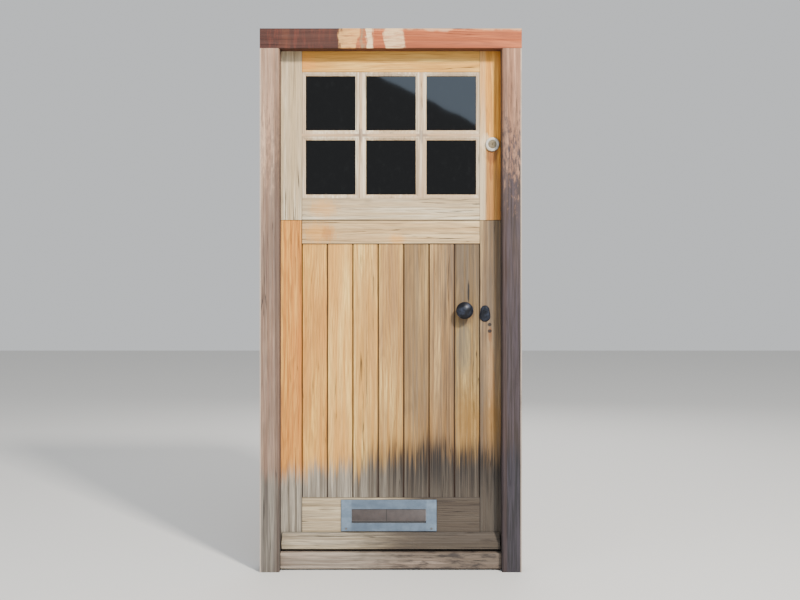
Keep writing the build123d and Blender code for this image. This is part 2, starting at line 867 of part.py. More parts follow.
def forked_tail(centre, x_joint, z0, z1, y0):
    """The thin tail of a latch, with a notch open downwards for the follower's tip."""
    x = follower_start(centre)[0]
    half = follower_tip_radius + follower_notch_play
    tail = block(x - tail_length / 4, x_joint, y0, y0 + tail_thickness, z0, z1)
    reach = centre[1] + follower_arm + follower_tip_radius + follower_notch_play
    return cut(tail, block(x - half, x + half, y0, y0 + tail_thickness, z0, reach))


def follower(centre, y0, hub_end, hole):
    """A hub on the axis with one arm, whose round tip drives the latch's tail."""
    x, z = follower_start(centre)
    hub = rod_y(centre, follower_radius, y0, hub_end)
    arm = Pos(0, 0, follower_arm / 2) * Box(follower_arm_width, tail_thickness, follower_arm)
    arm = Pos(centre[0], y0 + tail_thickness / 2, centre[1]) * Rot(0, -follower_turn / 2, 0) * arm
    tip = rod_y((x, z), follower_tip_radius, y0, y0 + tail_thickness)
    return cut(joined(hub, arm, tip), hole)


def dead_bolt():
    """The bolt that the key throws, with the talon that the key's bit pushes in."""
    tip = x_lock_edge
    bar = block(tip - dead_length, tip, y_bolt, y_bolt_back, z_dead, z_dead + dead_height)
    width, depth, inset = talon
    middle, top = tip - inset, z_dead + dead_height
    return cut(bar, block(middle - width / 2, middle + width / 2, y_bolt, y_bolt_back, top - depth, top))


def bolt_slot(x0, x1, y0, y1, z0, z1):
    """The space that a bolt's head slides through in the edge of a case."""
    return block(x0, x1, y0 - bolt_play, y1 + bolt_play, z0 - bolt_play, z1 + bolt_play)


def keyhole_cut(y0, y1):
    """A keyhole: a round hole for the key's pin over a slot for its bit."""
    x, z = keyhole_centre
    width, drop = keyhole_slot
    bit_slot = block(x - width / 2, x + width / 2, y0, y1, z - drop, z)
    return joined(rod_y(keyhole_centre, keyhole_radius, y0, y1), bit_slot)


def lock_case():
    """The pressed case of the rim lock."""
    case = thin_case(x_lock_back, x_lock_edge, y_lock, z_lock, z_lock_top, lock_wall)
    slots = [
        bolt_slot(x_lock_edge - lock_wall, x_lock_edge, y_bolt, y_bolt_back, low, low + height)
        for low, height in ((z_latch, latch_height), (z_dead, dead_height))
    ]
    neck = rod_y(knob_centre, knob_neck_radius + knob_neck_play, y_lock - lock_wall, y_lock)
    return cut(case, *slots, neck, keyhole_cut(y_lock - lock_wall, y_lock))


def box_keep(y_front, z0, z1, wall, webs):
    """A box staple on the jamb's inner face, open towards the bolts and against the timber."""
    keep = block(keep_start, keep_start + keep_width, y_inside, y_front, z0, z1)
    keep = cut(keep, block(keep_start, keep_start + keep_width - wall, y_inside, y_front - wall,
                           z0 + wall, z1 - wall))
    for z in webs:
        keep = joined(keep, block(keep_start, keep_start + keep_width, y_inside, y_front,
                                  z - keep_web / 2, z + keep_web / 2))
    return keep


def lock_keep():
    """The keep of the rim lock, with a web between the latch's pocket and the dead bolt's."""
    return box_keep(y_lock, z_lock, z_lock_top, lock_wall, [(z_dead + dead_height + z_latch) / 2])


# Knob, rose, spindle

def spindle_hole():
    """The hole through the timber for the spindle."""
    return rod_y(knob_centre, spindle_hole_radius, y_leaf, y_inside)


def spindle_bar(y0, y1):
    """A square bar on the knob's axis."""
    x, z = knob_centre
    half = spindle_side / 2
    return block(x - half, x + half, y0, y1, z - half, z + half)


def dome_middle(radius, height):
    """The middle of a dome's half section, as (radius, height), on an arc centred on the dome's axis."""
    ball = (radius ** 2 + height ** 2) / (2 * height)
    return radius / 2, height - ball + math.sqrt(ball ** 2 - radius ** 2 / 4)


def knob_form(radius, stand, foot, way):
    """A round cast knob with a domed face, standing away from foot in the direction of way."""
    edge = foot + way * stand * 0.55
    rim = foot + way * stand * 0.75
    rim_radius = radius * 0.93
    middle_radius, middle_height = dome_middle(rim_radius, stand * 0.25)
    return turned(
        knob_centre,
        (0, foot), (knob_neck_radius, foot), (knob_neck_radius, foot + way * stand * 0.25),
        ((radius * 0.62, foot + way * stand * 0.38), (radius * 0.94, edge)),
        ((radius, edge + way * stand * 0.09), (rim_radius, rim)),
        ((middle_radius, rim + way * middle_height), (0, foot + way * stand)),
    )


def knob_rose():
    """The round rose under the outer knob."""
    return turned(
        knob_centre,
        (knob_neck_radius + knob_neck_play, y_leaf), (rose_radius, y_leaf),
        ((rose_radius * 0.93, y_leaf - rose_thickness * 0.7), (rose_radius * 0.7, y_leaf - rose_thickness)),
        (knob_neck_radius + knob_neck_play, y_leaf - rose_thickness),
    )


def outer_knob():
    """The outer knob, with its neck running in the rose."""
    foot = y_leaf - knob_foot_gap
    knob = knob_form(knob_radius, knob_stand, foot, -1)
    return cut(knob, spindle_bar(foot - spindle_socket, foot))


def inner_knob():
    """The inner knob, with its neck running in the lock's case."""
    foot = y_lock - lock_wall
    knob = knob_form(inner_knob_radius, inner_knob_stand + lock_wall, foot, 1)
    return cut(knob, spindle_bar(foot, foot + spindle_socket))


def spindle():
    """The square spindle between the two knobs."""
    return spindle_bar(y_leaf - knob_foot_gap - spindle_socket, y_lock - lock_wall + spindle_socket)


def lock_follower():
    """The lock's follower, square on the spindle."""
    return follower(knob_centre, y_bolt, y_bolt_back, spindle_bar(y_bolt, y_bolt_back))


# Keyhole plate and its swinging cover

x_key, z_key = keyhole_centre
key_pivot = (x_key, z_key + key_plate_rise)
y_key_cover = y_leaf - key_plate_thickness - key_cover_gap


def pear(centre, low_radius, high_radius, rise, y0, y1):
    """A pear-shaped plate: a large round below, a small one above, and straight sides between them."""
    x, z = centre
    lean = math.asin((low_radius - high_radius) / rise)
    side = (math.cos(lean), math.sin(lean))
    low = [(x + way * low_radius * side[0], z + low_radius * side[1]) for way in (1, -1)]
    high = [(x + way * high_radius * side[0], z + rise + high_radius * side[1]) for way in (1, -1)]
    return along_y(
        y0, y1,
        low[0], high[0], ((x, z + rise + high_radius), high[1]), low[1], ((x, z - low_radius), low[0]),
    )


def key_plate():
    """The flat plate round the keyhole, with the rivet that the cover hangs on."""
    plate = pear((x_key, z_key - 3), key_plate_radius, key_plate_top_radius, key_plate_rise + 4,
                 y_leaf - key_plate_thickness, y_leaf)
    cover_front = y_key_cover - key_cover_thickness - key_cover_gap
    head_radius, head_height = key_rivet_head
    rivet = rod_y(key_pivot, key_rivet_radius, cover_front, y_leaf - key_plate_thickness)
    rivet_head = rod_y(key_pivot, head_radius, cover_front - head_height, cover_front)
    plate = cut(plate, keyhole_cut(y_leaf - key_plate_thickness, y_leaf))
    return joined(plate, rivet, rivet_head)


def key_cover():
    """The cover that swings aside on its rivet."""
    cover = pear((x_key, z_key - 3), key_cover_radius, key_cover_top_radius, key_plate_rise + 3,
                 y_key_cover - key_cover_thickness, y_key_cover)
    front = cover.faces().sort_by(Axis.Y)[0]
    cover = chamfer(front.edges(), key_cover_dome)
    return cut(cover, rod_y(key_pivot, key_rivet_radius + key_rivet_play, y_key_cover - key_cover_thickness,
                            y_key_cover))


# Night latch

x_night_edge = half_leaf - lock_edge_setback
x_night_back = x_night_edge - night_case_size[0]
y_night = y_inside + night_case_size[1]
z_night = night_centre[1] - night_case_size[2] / 2
z_night_top = night_centre[1] + night_case_size[2] / 2
y_night_bolt = y_inside + night_bolt_inset
y_night_bolt_back = y_night_bolt + night_bolt_head[1]
z_night_tail = night_centre[1] + follower_radius + follower_notch_play
z_night_bolt = night_centre[1] + night_bolt_height[0]
z_night_bolt_top = night_centre[1] + night_bolt_height[1]


def night_case():
    """The case of the night latch, on the inner face of the lock stile."""
    case = thin_case(x_night_back, x_night_edge, y_night, z_night, z_night_top, lock_wall)
    slot = bolt_slot(x_night_edge - lock_wall, x_night_edge, y_night_bolt, y_night_bolt_back,
                     z_night_bolt, z_night_bolt_top)
    neck = rod_y(night_centre, follower_radius + knob_neck_play, y_night - lock_wall, y_night)
    return cut(case, slot, neck)


def night_bolt():
    """The latch bolt of the night latch, with its forked tail."""
    length = night_bolt_head[0]
    tip = x_night_edge
    head_part = along_z(
        z_night_bolt, z_night_bolt_top,
        (tip - length, y_night_bolt), (tip - latch_bevel, y_night_bolt), (tip, y_night_bolt + latch_bevel),
        (tip, y_night_bolt_back), (tip - length, y_night_bolt_back),
    )
    tail = forked_tail(night_centre, tip - length, z_night_tail, z_night_bolt_top, y_night_bolt)
    return joined(head_part, tail)


def night_turn():
    """The inner turn, whose hub is the follower that draws the night latch."""
    bore = rod_y(night_centre, night_hub_bore, y_night_bolt, y_night - lock_wall)
    hub = follower(night_centre, y_night_bolt, y_night - lock_wall, bore)
    x, z = night_centre
    neck_end = y_night + 5
    neck = rod_y(night_centre, follower_radius, y_night - lock_wall, neck_end)
    grip = along_y(
        neck_end, neck_end + night_turn_stand,
        (x - 4, z - night_turn_radius), ((x, z - night_turn_radius - 4), (x + 4, z - night_turn_radius)),
        (x + 4, z + night_turn_radius), ((x, z + night_turn_radius + 4), (x - 4, z + night_turn_radius)),
    )
    return joined(hub, neck, grip)


def night_rose():
    """The thick ring round the cylinder outside."""
    front = y_leaf - night_rose_thickness
    bore = night_cylinder_radius + night_rose_play
    return turned(
        night_centre,
        (bore, y_leaf), (night_rose_radius, y_leaf),
        (night_rose_radius, front + night_rose_round),
        ((night_rose_radius - night_rose_round * 0.3, front + night_rose_round * 0.3),
         (night_rose_radius - night_rose_round, front)),
        (bore, front + night_rose_round / 2),
    )


def night_cylinder():
    """The rim cylinder in the lock stile, bored for its plug."""
    front, back = y_leaf - night_cylinder_proud, y_inside - night_cylinder_inset
    cylinder = rod_y(night_centre, night_cylinder_radius, front, back)
    return cut(cylinder, rod_y(night_centre, night_plug_radius, front, back))


def night_plug():
    """The plug that the key turns, with its keyway in front and a flat bar behind."""
    x, z = night_centre
    front = y_leaf - night_cylinder_proud
    back = front + night_plug_length
    plug = rod_y(night_centre, night_plug_radius - night_plug_play, front, back)
    width, height, depth = night_keyway
    keyway = block(x - width / 2, x + width / 2, front, front + depth, z - height / 2, z + height / 2)
    bar_height, bar_width = night_bar
    bar = block(x - bar_width / 2, x + bar_width / 2, back, y_night - 3 * lock_wall,
                z - bar_height / 2, z + bar_height / 2)
    return joined(cut(plug, keyway), bar)


def night_keep():
    """The keep of the night latch."""
    return box_keep(y_night, z_night, z_night_top, lock_wall, [])


# Link bolt

y_link_plate = y_inside + link_plate_thickness
y_link_rod = y_link_plate + link_rod_stand
z_link_plate = z_upper + link_plate_rise
z_link_plate_top = z_link_plate + link_plate_size[1]


def link_guide(z0, z1):
    """A squared guide with a round hole for the rod."""
    half = link_guide_size[0] / 2
    front = y_link_rod + link_rod_radius + link_guide_wall
    guide = block(link_centre - half, link_centre + half, y_link_plate, front, z0, z1)
    return cut(guide, rod_z(link_centre, y_link_rod, link_rod_radius + link_rod_play, z0, z1))


def link_plate():
    """The plate on the upper leaf with its two guides."""
    half = link_plate_size[0] / 2
    plate = block(link_centre - half, link_centre + half, y_inside, y_link_plate,
                  z_link_plate, z_link_plate_top)
    height = link_guide_size[1]
    low = z_link_plate + link_guide_inset
    high = z_link_plate_top - link_guide_inset - height
    return joined(plate, link_guide(low, low + height), link_guide(high, high + height))


def link_bolt():
    """The round bolt with a ball handle. Shot down, it ties the upper leaf to the lower one."""
    low = z_upper + meeting_gap
    rod = rod_z(link_centre, y_link_rod, link_rod_radius, low, low + link_rod_length)
    z = z_link_plate + link_handle_rise
    end = y_link_rod + link_handle_length
    handle = rod_y((link_centre, z), link_handle_radius, y_link_rod, end)
    ball = Pos(link_centre, end, z) * Sphere(link_handle_ball)
    return joined(rod, handle, ball)


def link_keep():
    """The squared keep on the lower leaf that the link bolt enters."""
    half = link_guide_size[0] / 2
    room = link_rod_radius + link_keep_play
    top = z_lower_top - link_keep_drop
    front = y_link_rod + room + link_guide_wall
    keep = block(link_centre - half, link_centre + half, y_inside, front, top - link_keep_height, top)
    return cut(keep, block(link_centre - room, link_centre + room, y_link_rod - room, y_link_rod + room,
                           top - link_keep_height, top))


os.makedirs("parts", exist_ok=True)

node("frame_head", head())
node("sill", sill())
node("frame_pegs", *head_pegs())
hinge_middles = (*lower_hinges, *upper_hinges)
node("jamb_left", cut(jamb(-1), *[flap_housing(middle, -1) for middle in hinge_middles]))
node("jamb_right", jamb(1))
node("frame_hinge_flaps", *[frame_flap(middle) for middle in hinge_middles])
node("hinge_pins", *[hinge_pin(middle) for middle in hinge_middles])
node("lock_keep", lock_keep())
node("night_latch_keep", night_keep())

node("upper_stile_left", upper_stile(-1))
node("upper_stile_right", upper_stile(1))
node("upper_top_rail", upper_rail(z_top_rail, z_sight_top, z_upper_top, upper_joints[1]))
node("upper_bottom_rail", upper_rail(z_glazing_rail, z_sight, z_upper, upper_joints[0]))
node("glazing_bars_upright", *[upright_bar(centre) for centre in upright_centres])
node("glazing_bars_cross", *[cross_bar(*span) for span in cross_spans()])
node("panes", *[pane(opening) for opening in pane_openings()])
node("glazing_beads", *[bead for opening in pane_openings() for bead in beads(opening)])
node(
    "upper_wedges",
    *[
        cut(wedge, *leaf_housings(upper_hinges))
        for side in (-1, 1) for joint in upper_joints for wedge in wedges(side, *joint)
    ],
)
node("upper_hinge_flaps", *[leaf_flap(middle) for middle in upper_hinges])
node("night_latch_case", night_case())
node("night_latch_rose", night_rose())
node("night_latch_cylinder", night_cylinder())
node("night_latch_plug", night_plug())
node("night_latch_bolt", night_bolt())
node("night_latch_turn", night_turn())
node("link_bolt_plate", link_plate())
node("link_bolt", link_bolt())

node("lower_stile_left", lower_stile(-1))
node("lower_stile_right", lower_stile(1))
node("lower_top_rail", lower_rail(z_boards_top, z_lower_top, lower_joints[1]))
node("lower_bottom_rail", cut(lower_rail(z_lower, z_boards, lower_joints[0]), letter_slot()))
node("lock_rail", lock_rail())
node("brace", brace())
for board_number in range(board_count):
    node(f"board_{board_number + 1}", board(board_number))
node("weatherboard", weatherboard())
node(
    "lower_wedges",
    *[
        cut(wedge, *leaf_housings(lower_hinges))
        for side in (-1, 1) for joint in lower_joints for wedge in wedges(side, *joint)
    ],
    *[
        cut(wedge, *leaf_housings(lower_hinges))
        for side in (-1, 1) for wedge in wedges(side, *lock_joint, y_board_back, y_tenon_back)
    ],
)
node("lower_hinge_flaps", *[leaf_flap(middle) for middle in lower_hinges])
node("letter_plate", letter_plate())
node("letter_flap_pin", letter_pin())
node("letter_flap", letter_flap())
node("lock_case", lock_case())
node("latch_bolt", latch_bolt())
node("dead_bolt", dead_bolt())
node("lock_follower", lock_follower())
node("spindle", spindle())
node("outer_knob", outer_knob())
node("inner_knob", inner_knob())
node("knob_rose", knob_rose())
node("keyhole_plate", key_plate())
node("keyhole_cover", key_cover())
node("link_bolt_keep", link_keep())
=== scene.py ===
import json
import math
import random

import bmesh
import bpy
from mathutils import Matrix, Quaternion, Vector

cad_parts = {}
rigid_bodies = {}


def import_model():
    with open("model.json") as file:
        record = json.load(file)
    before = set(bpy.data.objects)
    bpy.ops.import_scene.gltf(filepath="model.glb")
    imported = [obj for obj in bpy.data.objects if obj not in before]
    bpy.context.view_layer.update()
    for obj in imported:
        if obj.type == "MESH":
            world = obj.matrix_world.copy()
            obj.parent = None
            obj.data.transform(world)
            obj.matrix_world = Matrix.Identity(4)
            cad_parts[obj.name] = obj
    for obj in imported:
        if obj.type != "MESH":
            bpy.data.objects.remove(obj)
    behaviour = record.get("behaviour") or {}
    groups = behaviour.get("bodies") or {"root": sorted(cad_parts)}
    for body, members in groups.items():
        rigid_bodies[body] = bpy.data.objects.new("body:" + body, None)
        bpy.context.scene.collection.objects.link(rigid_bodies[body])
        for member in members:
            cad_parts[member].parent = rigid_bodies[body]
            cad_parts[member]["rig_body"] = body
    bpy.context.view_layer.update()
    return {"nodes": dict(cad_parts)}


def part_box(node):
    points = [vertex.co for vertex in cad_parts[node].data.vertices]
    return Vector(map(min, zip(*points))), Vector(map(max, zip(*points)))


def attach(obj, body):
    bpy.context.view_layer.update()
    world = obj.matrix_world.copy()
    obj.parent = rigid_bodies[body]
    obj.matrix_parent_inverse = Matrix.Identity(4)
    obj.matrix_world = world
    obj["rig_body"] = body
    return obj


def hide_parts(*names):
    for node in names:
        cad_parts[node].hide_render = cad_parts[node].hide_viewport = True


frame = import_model()
nodes = frame["nodes"]


# The view. A level camera, which keeps the uprights parallel, stands outside about as high as the lower
# leaf's top. Its lens takes in the doorway and little else, and its shift sets how high the door sits.

camera = bpy.data.objects.new("camera", bpy.data.cameras.new("camera"))
bpy.context.scene.collection.objects.link(camera)
camera.location = (0.035, -4.19, 1.13)
camera.rotation_euler = (math.radians(90), 0, 0)
camera.data.lens = 49.1
camera.data.shift_y = -0.032
bpy.context.scene.camera = camera


# The studio: a pale floor for the sill to lie on, a small strong light high on the right, as the shadows
# in the doorway run, a wide weaker one on the left and one behind, a far blue one for the upper panes to
# catch a slanting edge of, and an even pale surround.

floor_reach = 12.0
floor_corners = [(x * floor_reach, y * floor_reach, 0) for x, y in ((-1, -1), (1, -1), (1, 1), (-1, 1))]
floor_mesh = bpy.data.meshes.new("floor")
floor_mesh.from_pydata(floor_corners, [], [(0, 1, 2, 3)])
floor_paint = bpy.data.materials.new("floor_paint")
floor_paint.use_nodes = True
floor_shader = floor_paint.node_tree.nodes["Principled BSDF"]
floor_shader.inputs["Base Color"].default_value = (0.62, 0.61, 0.59, 1)
floor_shader.inputs["Roughness"].default_value = 0.85
floor_mesh.materials.append(floor_paint)
floor = bpy.data.objects.new("floor", floor_mesh)
bpy.context.scene.collection.objects.link(floor)


def soft_light(name, place, aim, size, power, colour, roll=0.0):
    """A square area light that points at a place on the door, turned by roll degrees on its own axis."""
    lamp = bpy.data.lights.new(name, "AREA")
    lamp.size = size
    lamp.energy = power
    lamp.color = colour
    holder = bpy.data.objects.new(name, lamp)
    bpy.context.scene.collection.objects.link(holder)
    holder.location = place
    facing = (Vector(aim) - Vector(place)).to_track_quat("-Z", "Y")
    holder.rotation_euler = (facing @ Quaternion((0, 0, 1), math.radians(roll))).to_euler()
    holder.visible_camera = False


door_middle = (0, 0, 1.1)
soft_light("key_light", (2.9, -4.9, 5.3), door_middle, 0.7, 1000, (1.0, 0.95, 0.87))
soft_light("fill_light", (-3.6, -3.0, 2.0), door_middle, 3.0, 60, (0.92, 0.96, 1.0))
soft_light("back_light", (0.5, 4.0, 3.2), door_middle, 3.0, 90, (1.0, 0.98, 0.96))
soft_light("sky_light", (2.1, -9.0, 5.1), (0, 0, 1.67), 5.0, 330, (0.62, 0.80, 1.0), roll=-29)
world = bpy.data.worlds.new("pale_room")
world.use_nodes = True
world.node_tree.nodes["Background"].inputs["Color"].default_value = (0.86, 0.88, 0.90, 1)
world.node_tree.nodes["Background"].inputs["Strength"].default_value = 0.78
bpy.context.scene.world = world


# The frame's head and jambs: heavy oak, mortised, tenoned and draw-bored with pegs. The head keeps a dark
# red-brown stain at its hinge end and has worn pale in patches towards its middle, and the jambs have
# bleached at the top and darken below, partly blackened with weather and partly with painted shade, most
# of all the right jamb.

screen_gamma = 2.8


def tone(red, green, blue):
    """A colour as it is read from a sunlit picture, 0 to 255, in the shader's own numbers. The gamma is a
    little over a screen's, because sunlight lightens and dulls what it falls on."""
    return (*[((part / 255 + 0.055) / 1.055) ** screen_gamma for part in (red, green, blue)], 1)


def add_step(tree, kind, inputs=None, **settings):
    """One node in a tree, with its settings made and its inputs linked or set."""
    made = tree.nodes.new(kind)
    for setting, value in settings.items():
        setattr(made, setting, value)
    for socket, value in (inputs or {}).items():
        if isinstance(value, bpy.types.NodeSocket):
            tree.links.new(value, made.inputs[socket])
        else:
            made.inputs[socket].default_value = value
    return made


class Finish:
    """A finish that is being mixed, with one short call for each kind of step."""

    def __init__(self, name, roughness, metallic=0.0):
        self.material = bpy.data.materials.new(name)
        self.material.use_nodes = True
        self.tree = self.material.node_tree
        self.shader = self.tree.nodes["Principled BSDF"]
        self.shader.inputs["Roughness"].default_value = roughness
        self.shader.inputs["Metallic"].default_value = metallic
        self.place = self.step("ShaderNodeTexCoord").outputs["Object"]

    def step(self, kind, inputs=None, **settings):
        """One node of the finish."""
        return add_step(self.tree, kind, inputs, **settings)

    def reckon(self, operation, first, second=0.0, third=0.0):
        """One step of arithmetic on one, two or three numbers."""
        return self.step("ShaderNodeMath", {0: first, 1: second, 2: third}, operation=operation).outputs[0]

    def times(self, first, second):
        """One number times another."""
        return self.reckon("MULTIPLY", first, second)

    def stray(self, pattern, reach, base):
        """A number that strays to and fro about its base as a pattern says, over reach in all."""
        return self.reckon("MULTIPLY_ADD", self.reckon("SUBTRACT", pattern, 0.5), reach, base)

    def axes(self):
        """The place on the piece as x, y and z."""
        return self.step("ShaderNodeSeparateXYZ", {0: self.place}).outputs

    def rise(self, value, low, high, start=0.0, end=1.0):
        """A smooth step from start to end while value goes from low to high."""
        inputs = {"Value": value, "From Min": low, "From Max": high, "To Min": start, "To Max": end}
        return self.step("ShaderNodeMapRange", inputs, interpolation_type="SMOOTHSTEP").outputs["Result"]

    def stretched(self, scale, shift=(0, 0, 0), place=None):
        """The place on the piece, scaled on each axis, for a pattern that is longer one way."""
        inputs = {"Vector": place or self.place, "Location": shift, "Scale": scale}
        return self.step("ShaderNodeMapping", inputs).outputs[0]

    def cloud(self, scale, shift=(0, 0, 0), place=None, detail=3.0, roughness=0.5, distortion=0.0):
        """A soft random pattern from 0 to 1, scaled on each axis."""
        inputs = {"Vector": self.stretched(scale, shift, place), "Scale": 1.0, "Detail": detail,
                  "Roughness": roughness, "Distortion": distortion}
        return self.step("ShaderNodeTexNoise", inputs).outputs[0]

    def mix(self, share, first, second):
        """Two colours mixed."""
        return self.step("ShaderNodeMix", {0: share, 6: first, 7: second}, data_type="RGBA").outputs[2]

    def spread(self, colour):
        """Gives the whole surface a mixed colour."""
        self.tree.links.new(colour, self.shader.inputs["Base Color"])

    def coat(self, share, colour):
        """Lays a colour over what is there so far, as thick as share says."""
        below = self.shader.inputs["Base Color"].links[0].from_socket
        self.spread(self.mix(share, below, colour))

    def relief(self, height, depth, strength):
        """Raises and lowers the surface in the light. Depth is in metres."""
        bump = self.step("ShaderNodeBump", {"Height": height, "Distance": depth, "Strength": strength})
        self.tree.links.new(bump.outputs["Normal"], self.shader.inputs["Normal"])

    def dulling(self, value, low, high):
        """Roughness from low to high as value goes from 0 to 1."""
        self.tree.links.new(self.rise(value, 0, 1, low, high), self.shader.inputs["Roughness"])


old_grey = tone(176, 167, 152)
deep_grey = tone(112, 102, 90)
shaded_damp_grey = tone(82, 71, 60)
wet_brown = tone(34, 24, 17)
rust_gold = tone(158, 114, 42)
check_black = tone(36, 27, 20)

# Places in metres: how far in rain reaches, the dry side and the damp side, which is also painted darker
# with shade, the heights at which the foot turns grey, rust gold and streaked, and the width of the
# darkening along a timber's edges, partly dirt and partly painted shade.
rain_start, rain_full = 0.027, 0.016
dry_lit_x, damp_shaded_x = -0.24, 0.10
grey_start, grey_full = 0.430, 0.330
gold_start, gold_full = 0.64, 0.46
streak_start, streak_full = 0.480, 0.385
streak_foot, streak_waist = 0.18, 0.36
edge_dirt_and_shade_start, edge_dirt_and_shade_full = 0.0042, 0.0002


def oak(name, node, grain, pale, deep, greying=0.0, ring_pitch=0.0055, foot=1.0, edge_dirt_and_shade=0.65, cracks=0.50,
        lean=0.0):
    """Weathered oak for one timber. Rings lie round a pith beside the piece and lean with its length, so
    that arches and straight grain both show. Outdoors the foot of the door has greyed, darker on the right
    partly with damp and partly with painted shade, and where splashed rain dries, most of all on the right,
    fine dark streaks run up the gold. Foot says how much of that the piece has, greying how grey it is all
    over, and the edge setting how dark its edges are, partly with dirt and partly with painted shade. Checks
    open where a soft pattern passes cracks. Lean is how far a brace's grain rises above its direction, in
    degrees."""
    finish = Finish(name, 0.75)
    if lean:
        turned = {"Vector": finish.place, "Rotation": (0, math.radians(lean), 0)}
        finish.place = finish.step("ShaderNodeMapping", turned).outputs[0]
    luck = random.Random(name)
    low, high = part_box(node)
    middle = (low + high) / 2
    x, y, z = finish.axes()
    across, along = (z, x) if grain == "X" else (x, z)
    beside = middle.z if grain == "X" else middle.x
    timber = finish.step("ShaderNodeCombineXYZ", {0: across, 1: y, 2: along}).outputs[0]
    shift = [luck.uniform(-7, 7) for _ in range(3)]

    # Rings, with the dark summer wood of each fading in slowly and ending sharply.
    pith = finish.step("ShaderNodeMapping", {
        "Vector": timber,
        "Location": (-beside + luck.uniform(-0.05, 0.05), -middle.y - luck.uniform(0.03, 0.09), 0),
        "Rotation": (luck.uniform(-0.02, 0.02), luck.uniform(-0.02, 0.02), 0),
    }).outputs[0]
    radius = finish.step("ShaderNodeVectorMath", {0: finish.stretched((1, 1, 0), place=pith)},
                         operation="LENGTH").outputs["Value"]
    sway = finish.cloud((10, 10, 1.3), shift, timber, detail=2)
    wander = finish.reckon("MULTIPLY_ADD", sway, 0.05, radius)
    ring = finish.reckon("FRACT", finish.reckon("DIVIDE", wander, ring_pitch))
    summer = finish.times(finish.rise(ring, 0.0, 0.45), finish.rise(ring, 1.0, 0.78))

    # Fibres, the strands they lie in, and drying checks.
    fibre = finish.cloud((420, 420, 11), shift, timber, detail=2, roughness=0.6)
    strands = finish.cloud((75, 75, 1.7), shift, timber, detail=4, roughness=0.6)
    patches = finish.cloud((9, 9, 1.4), shift, timber, detail=3)
    split = finish.cloud((64, 64, 1.1), shift, timber, detail=3, distortion=0.15)
    narrow = finish.rise(finish.reckon("ABSOLUTE", finish.reckon("SUBTRACT", split, 0.5)), 0.009, 0.002)
    where = finish.rise(finish.cloud((20, 20, 2.2), shift[::-1], timber), cracks, cracks + 0.1)
    checks = finish.times(narrow, where)

    # The colour of the clean wood.
    colour = finish.mix(finish.rise(patches, 0.36, 0.64), pale, deep)
    colour = finish.mix(finish.rise(strands, 0.40, 0.60, 0.0, 0.84), colour, deep)
    ring_brown = finish.mix(0.45, deep, check_black)
    colour = finish.mix(finish.rise(summer, 1.0, 0.0, 0.0, 0.30), colour, ring_brown)
    fibre_brown = finish.mix(0.40, deep, check_black)
    colour = finish.mix(finish.rise(fibre, 0.44, 0.66, 0.0, 0.62), colour, fibre_brown)

    # The grey foot below a ragged tide line, a thin grey veil, and rust gold above the foot.
    line = finish.cloud((170, 170, 1.6), shift, timber, detail=4, roughness=0.7)
    heave = finish.cloud((16, 16, 1.5), shift, detail=2)
    tide = finish.stray(line, 0.20, z)
    tide = finish.stray(heave, 0.17, tide)
    right = finish.rise(x, dry_lit_x, damp_shaded_x)
    outdoors = finish.rise(y, rain_start, rain_full)
    tide = finish.reckon("MULTIPLY_ADD", right, -0.04, tide)
    low_grey = finish.rise(tide, grey_start, grey_full, 0.0, foot)
    streaky = finish.stray(line, 1.1, patches)
    veil = finish.rise(streaky, 0.28, 0.72, greying * 0.25, min(greying * 1.7, 0.9))
    grey = finish.mix(finish.rise(strands, 0.36, 0.64), old_grey, deep_grey)
    grey = finish.mix(finish.rise(fibre, 0.40, 0.70, 0.0, 0.6), grey, deep_grey)
    # On the right the grey darkens, partly with damp and partly with painted shade.
    grey = finish.mix(finish.times(right, 0.85), grey, shaded_damp_grey)
    warmed = finish.times(finish.rise(tide, gold_start, gold_full), finish.times(right, 0.5 * foot))
    colour = finish.mix(finish.times(warmed, outdoors), colour, rust_gold)
    grey_share = finish.times(finish.reckon("MAXIMUM", low_grey, veil), outdoors)
    colour = finish.mix(grey_share, colour, grey)

    # Dark streaks about the tide line, the black of the checks, and darkening along the edges, partly dirt
    # and partly painted shade.
    stripe = finish.cloud((150, 150, 2), shift[::-1], timber, detail=4, roughness=0.65)
    stripe = finish.rise(stripe, 0.66, 0.42, 0.20, 1.0)
    band = finish.times(finish.rise(tide, streak_start, streak_full),
                        finish.rise(tide, streak_foot, streak_waist, 0.42, 1.0))
    soaked = finish.times(finish.times(stripe, band),
                          finish.reckon("MULTIPLY_ADD", right, 0.90 * foot, 0.08 * foot))
    colour = finish.mix(finish.times(soaked, outdoors), colour, wet_brown)
    colour = finish.mix(finish.times(checks, 0.85), colour, check_black)
    first, last = (low.z, high.z) if grain == "X" else (low.x, high.x)
    inside = finish.reckon("MINIMUM", finish.reckon("SUBTRACT", across, first),
                           finish.reckon("SUBTRACT", last, across))
    inside = finish.stray(strands, 0.006, inside)
    finish.spread(finish.mix(finish.rise(inside, edge_dirt_and_shade_start, edge_dirt_and_shade_full, 0.0, edge_dirt_and_shade), colour, check_black))

    # Weathering has left the summer wood and the strands proud, and the checks deep.
    height = finish.reckon("MULTIPLY_ADD", summer, 0.45, finish.times(fibre, 0.5))
    height = finish.reckon("MULTIPLY_ADD", strands, 0.9, height)
    height = finish.reckon("MULTIPLY_ADD", checks, -2.2, height)
    finish.relief(height, 0.0011, 0.75)
    finish.dulling(strands, 0.62, 0.88)
    return finish


bend_limit = math.radians(28)
flat_limit = math.radians(1)
same_place = 1e-6


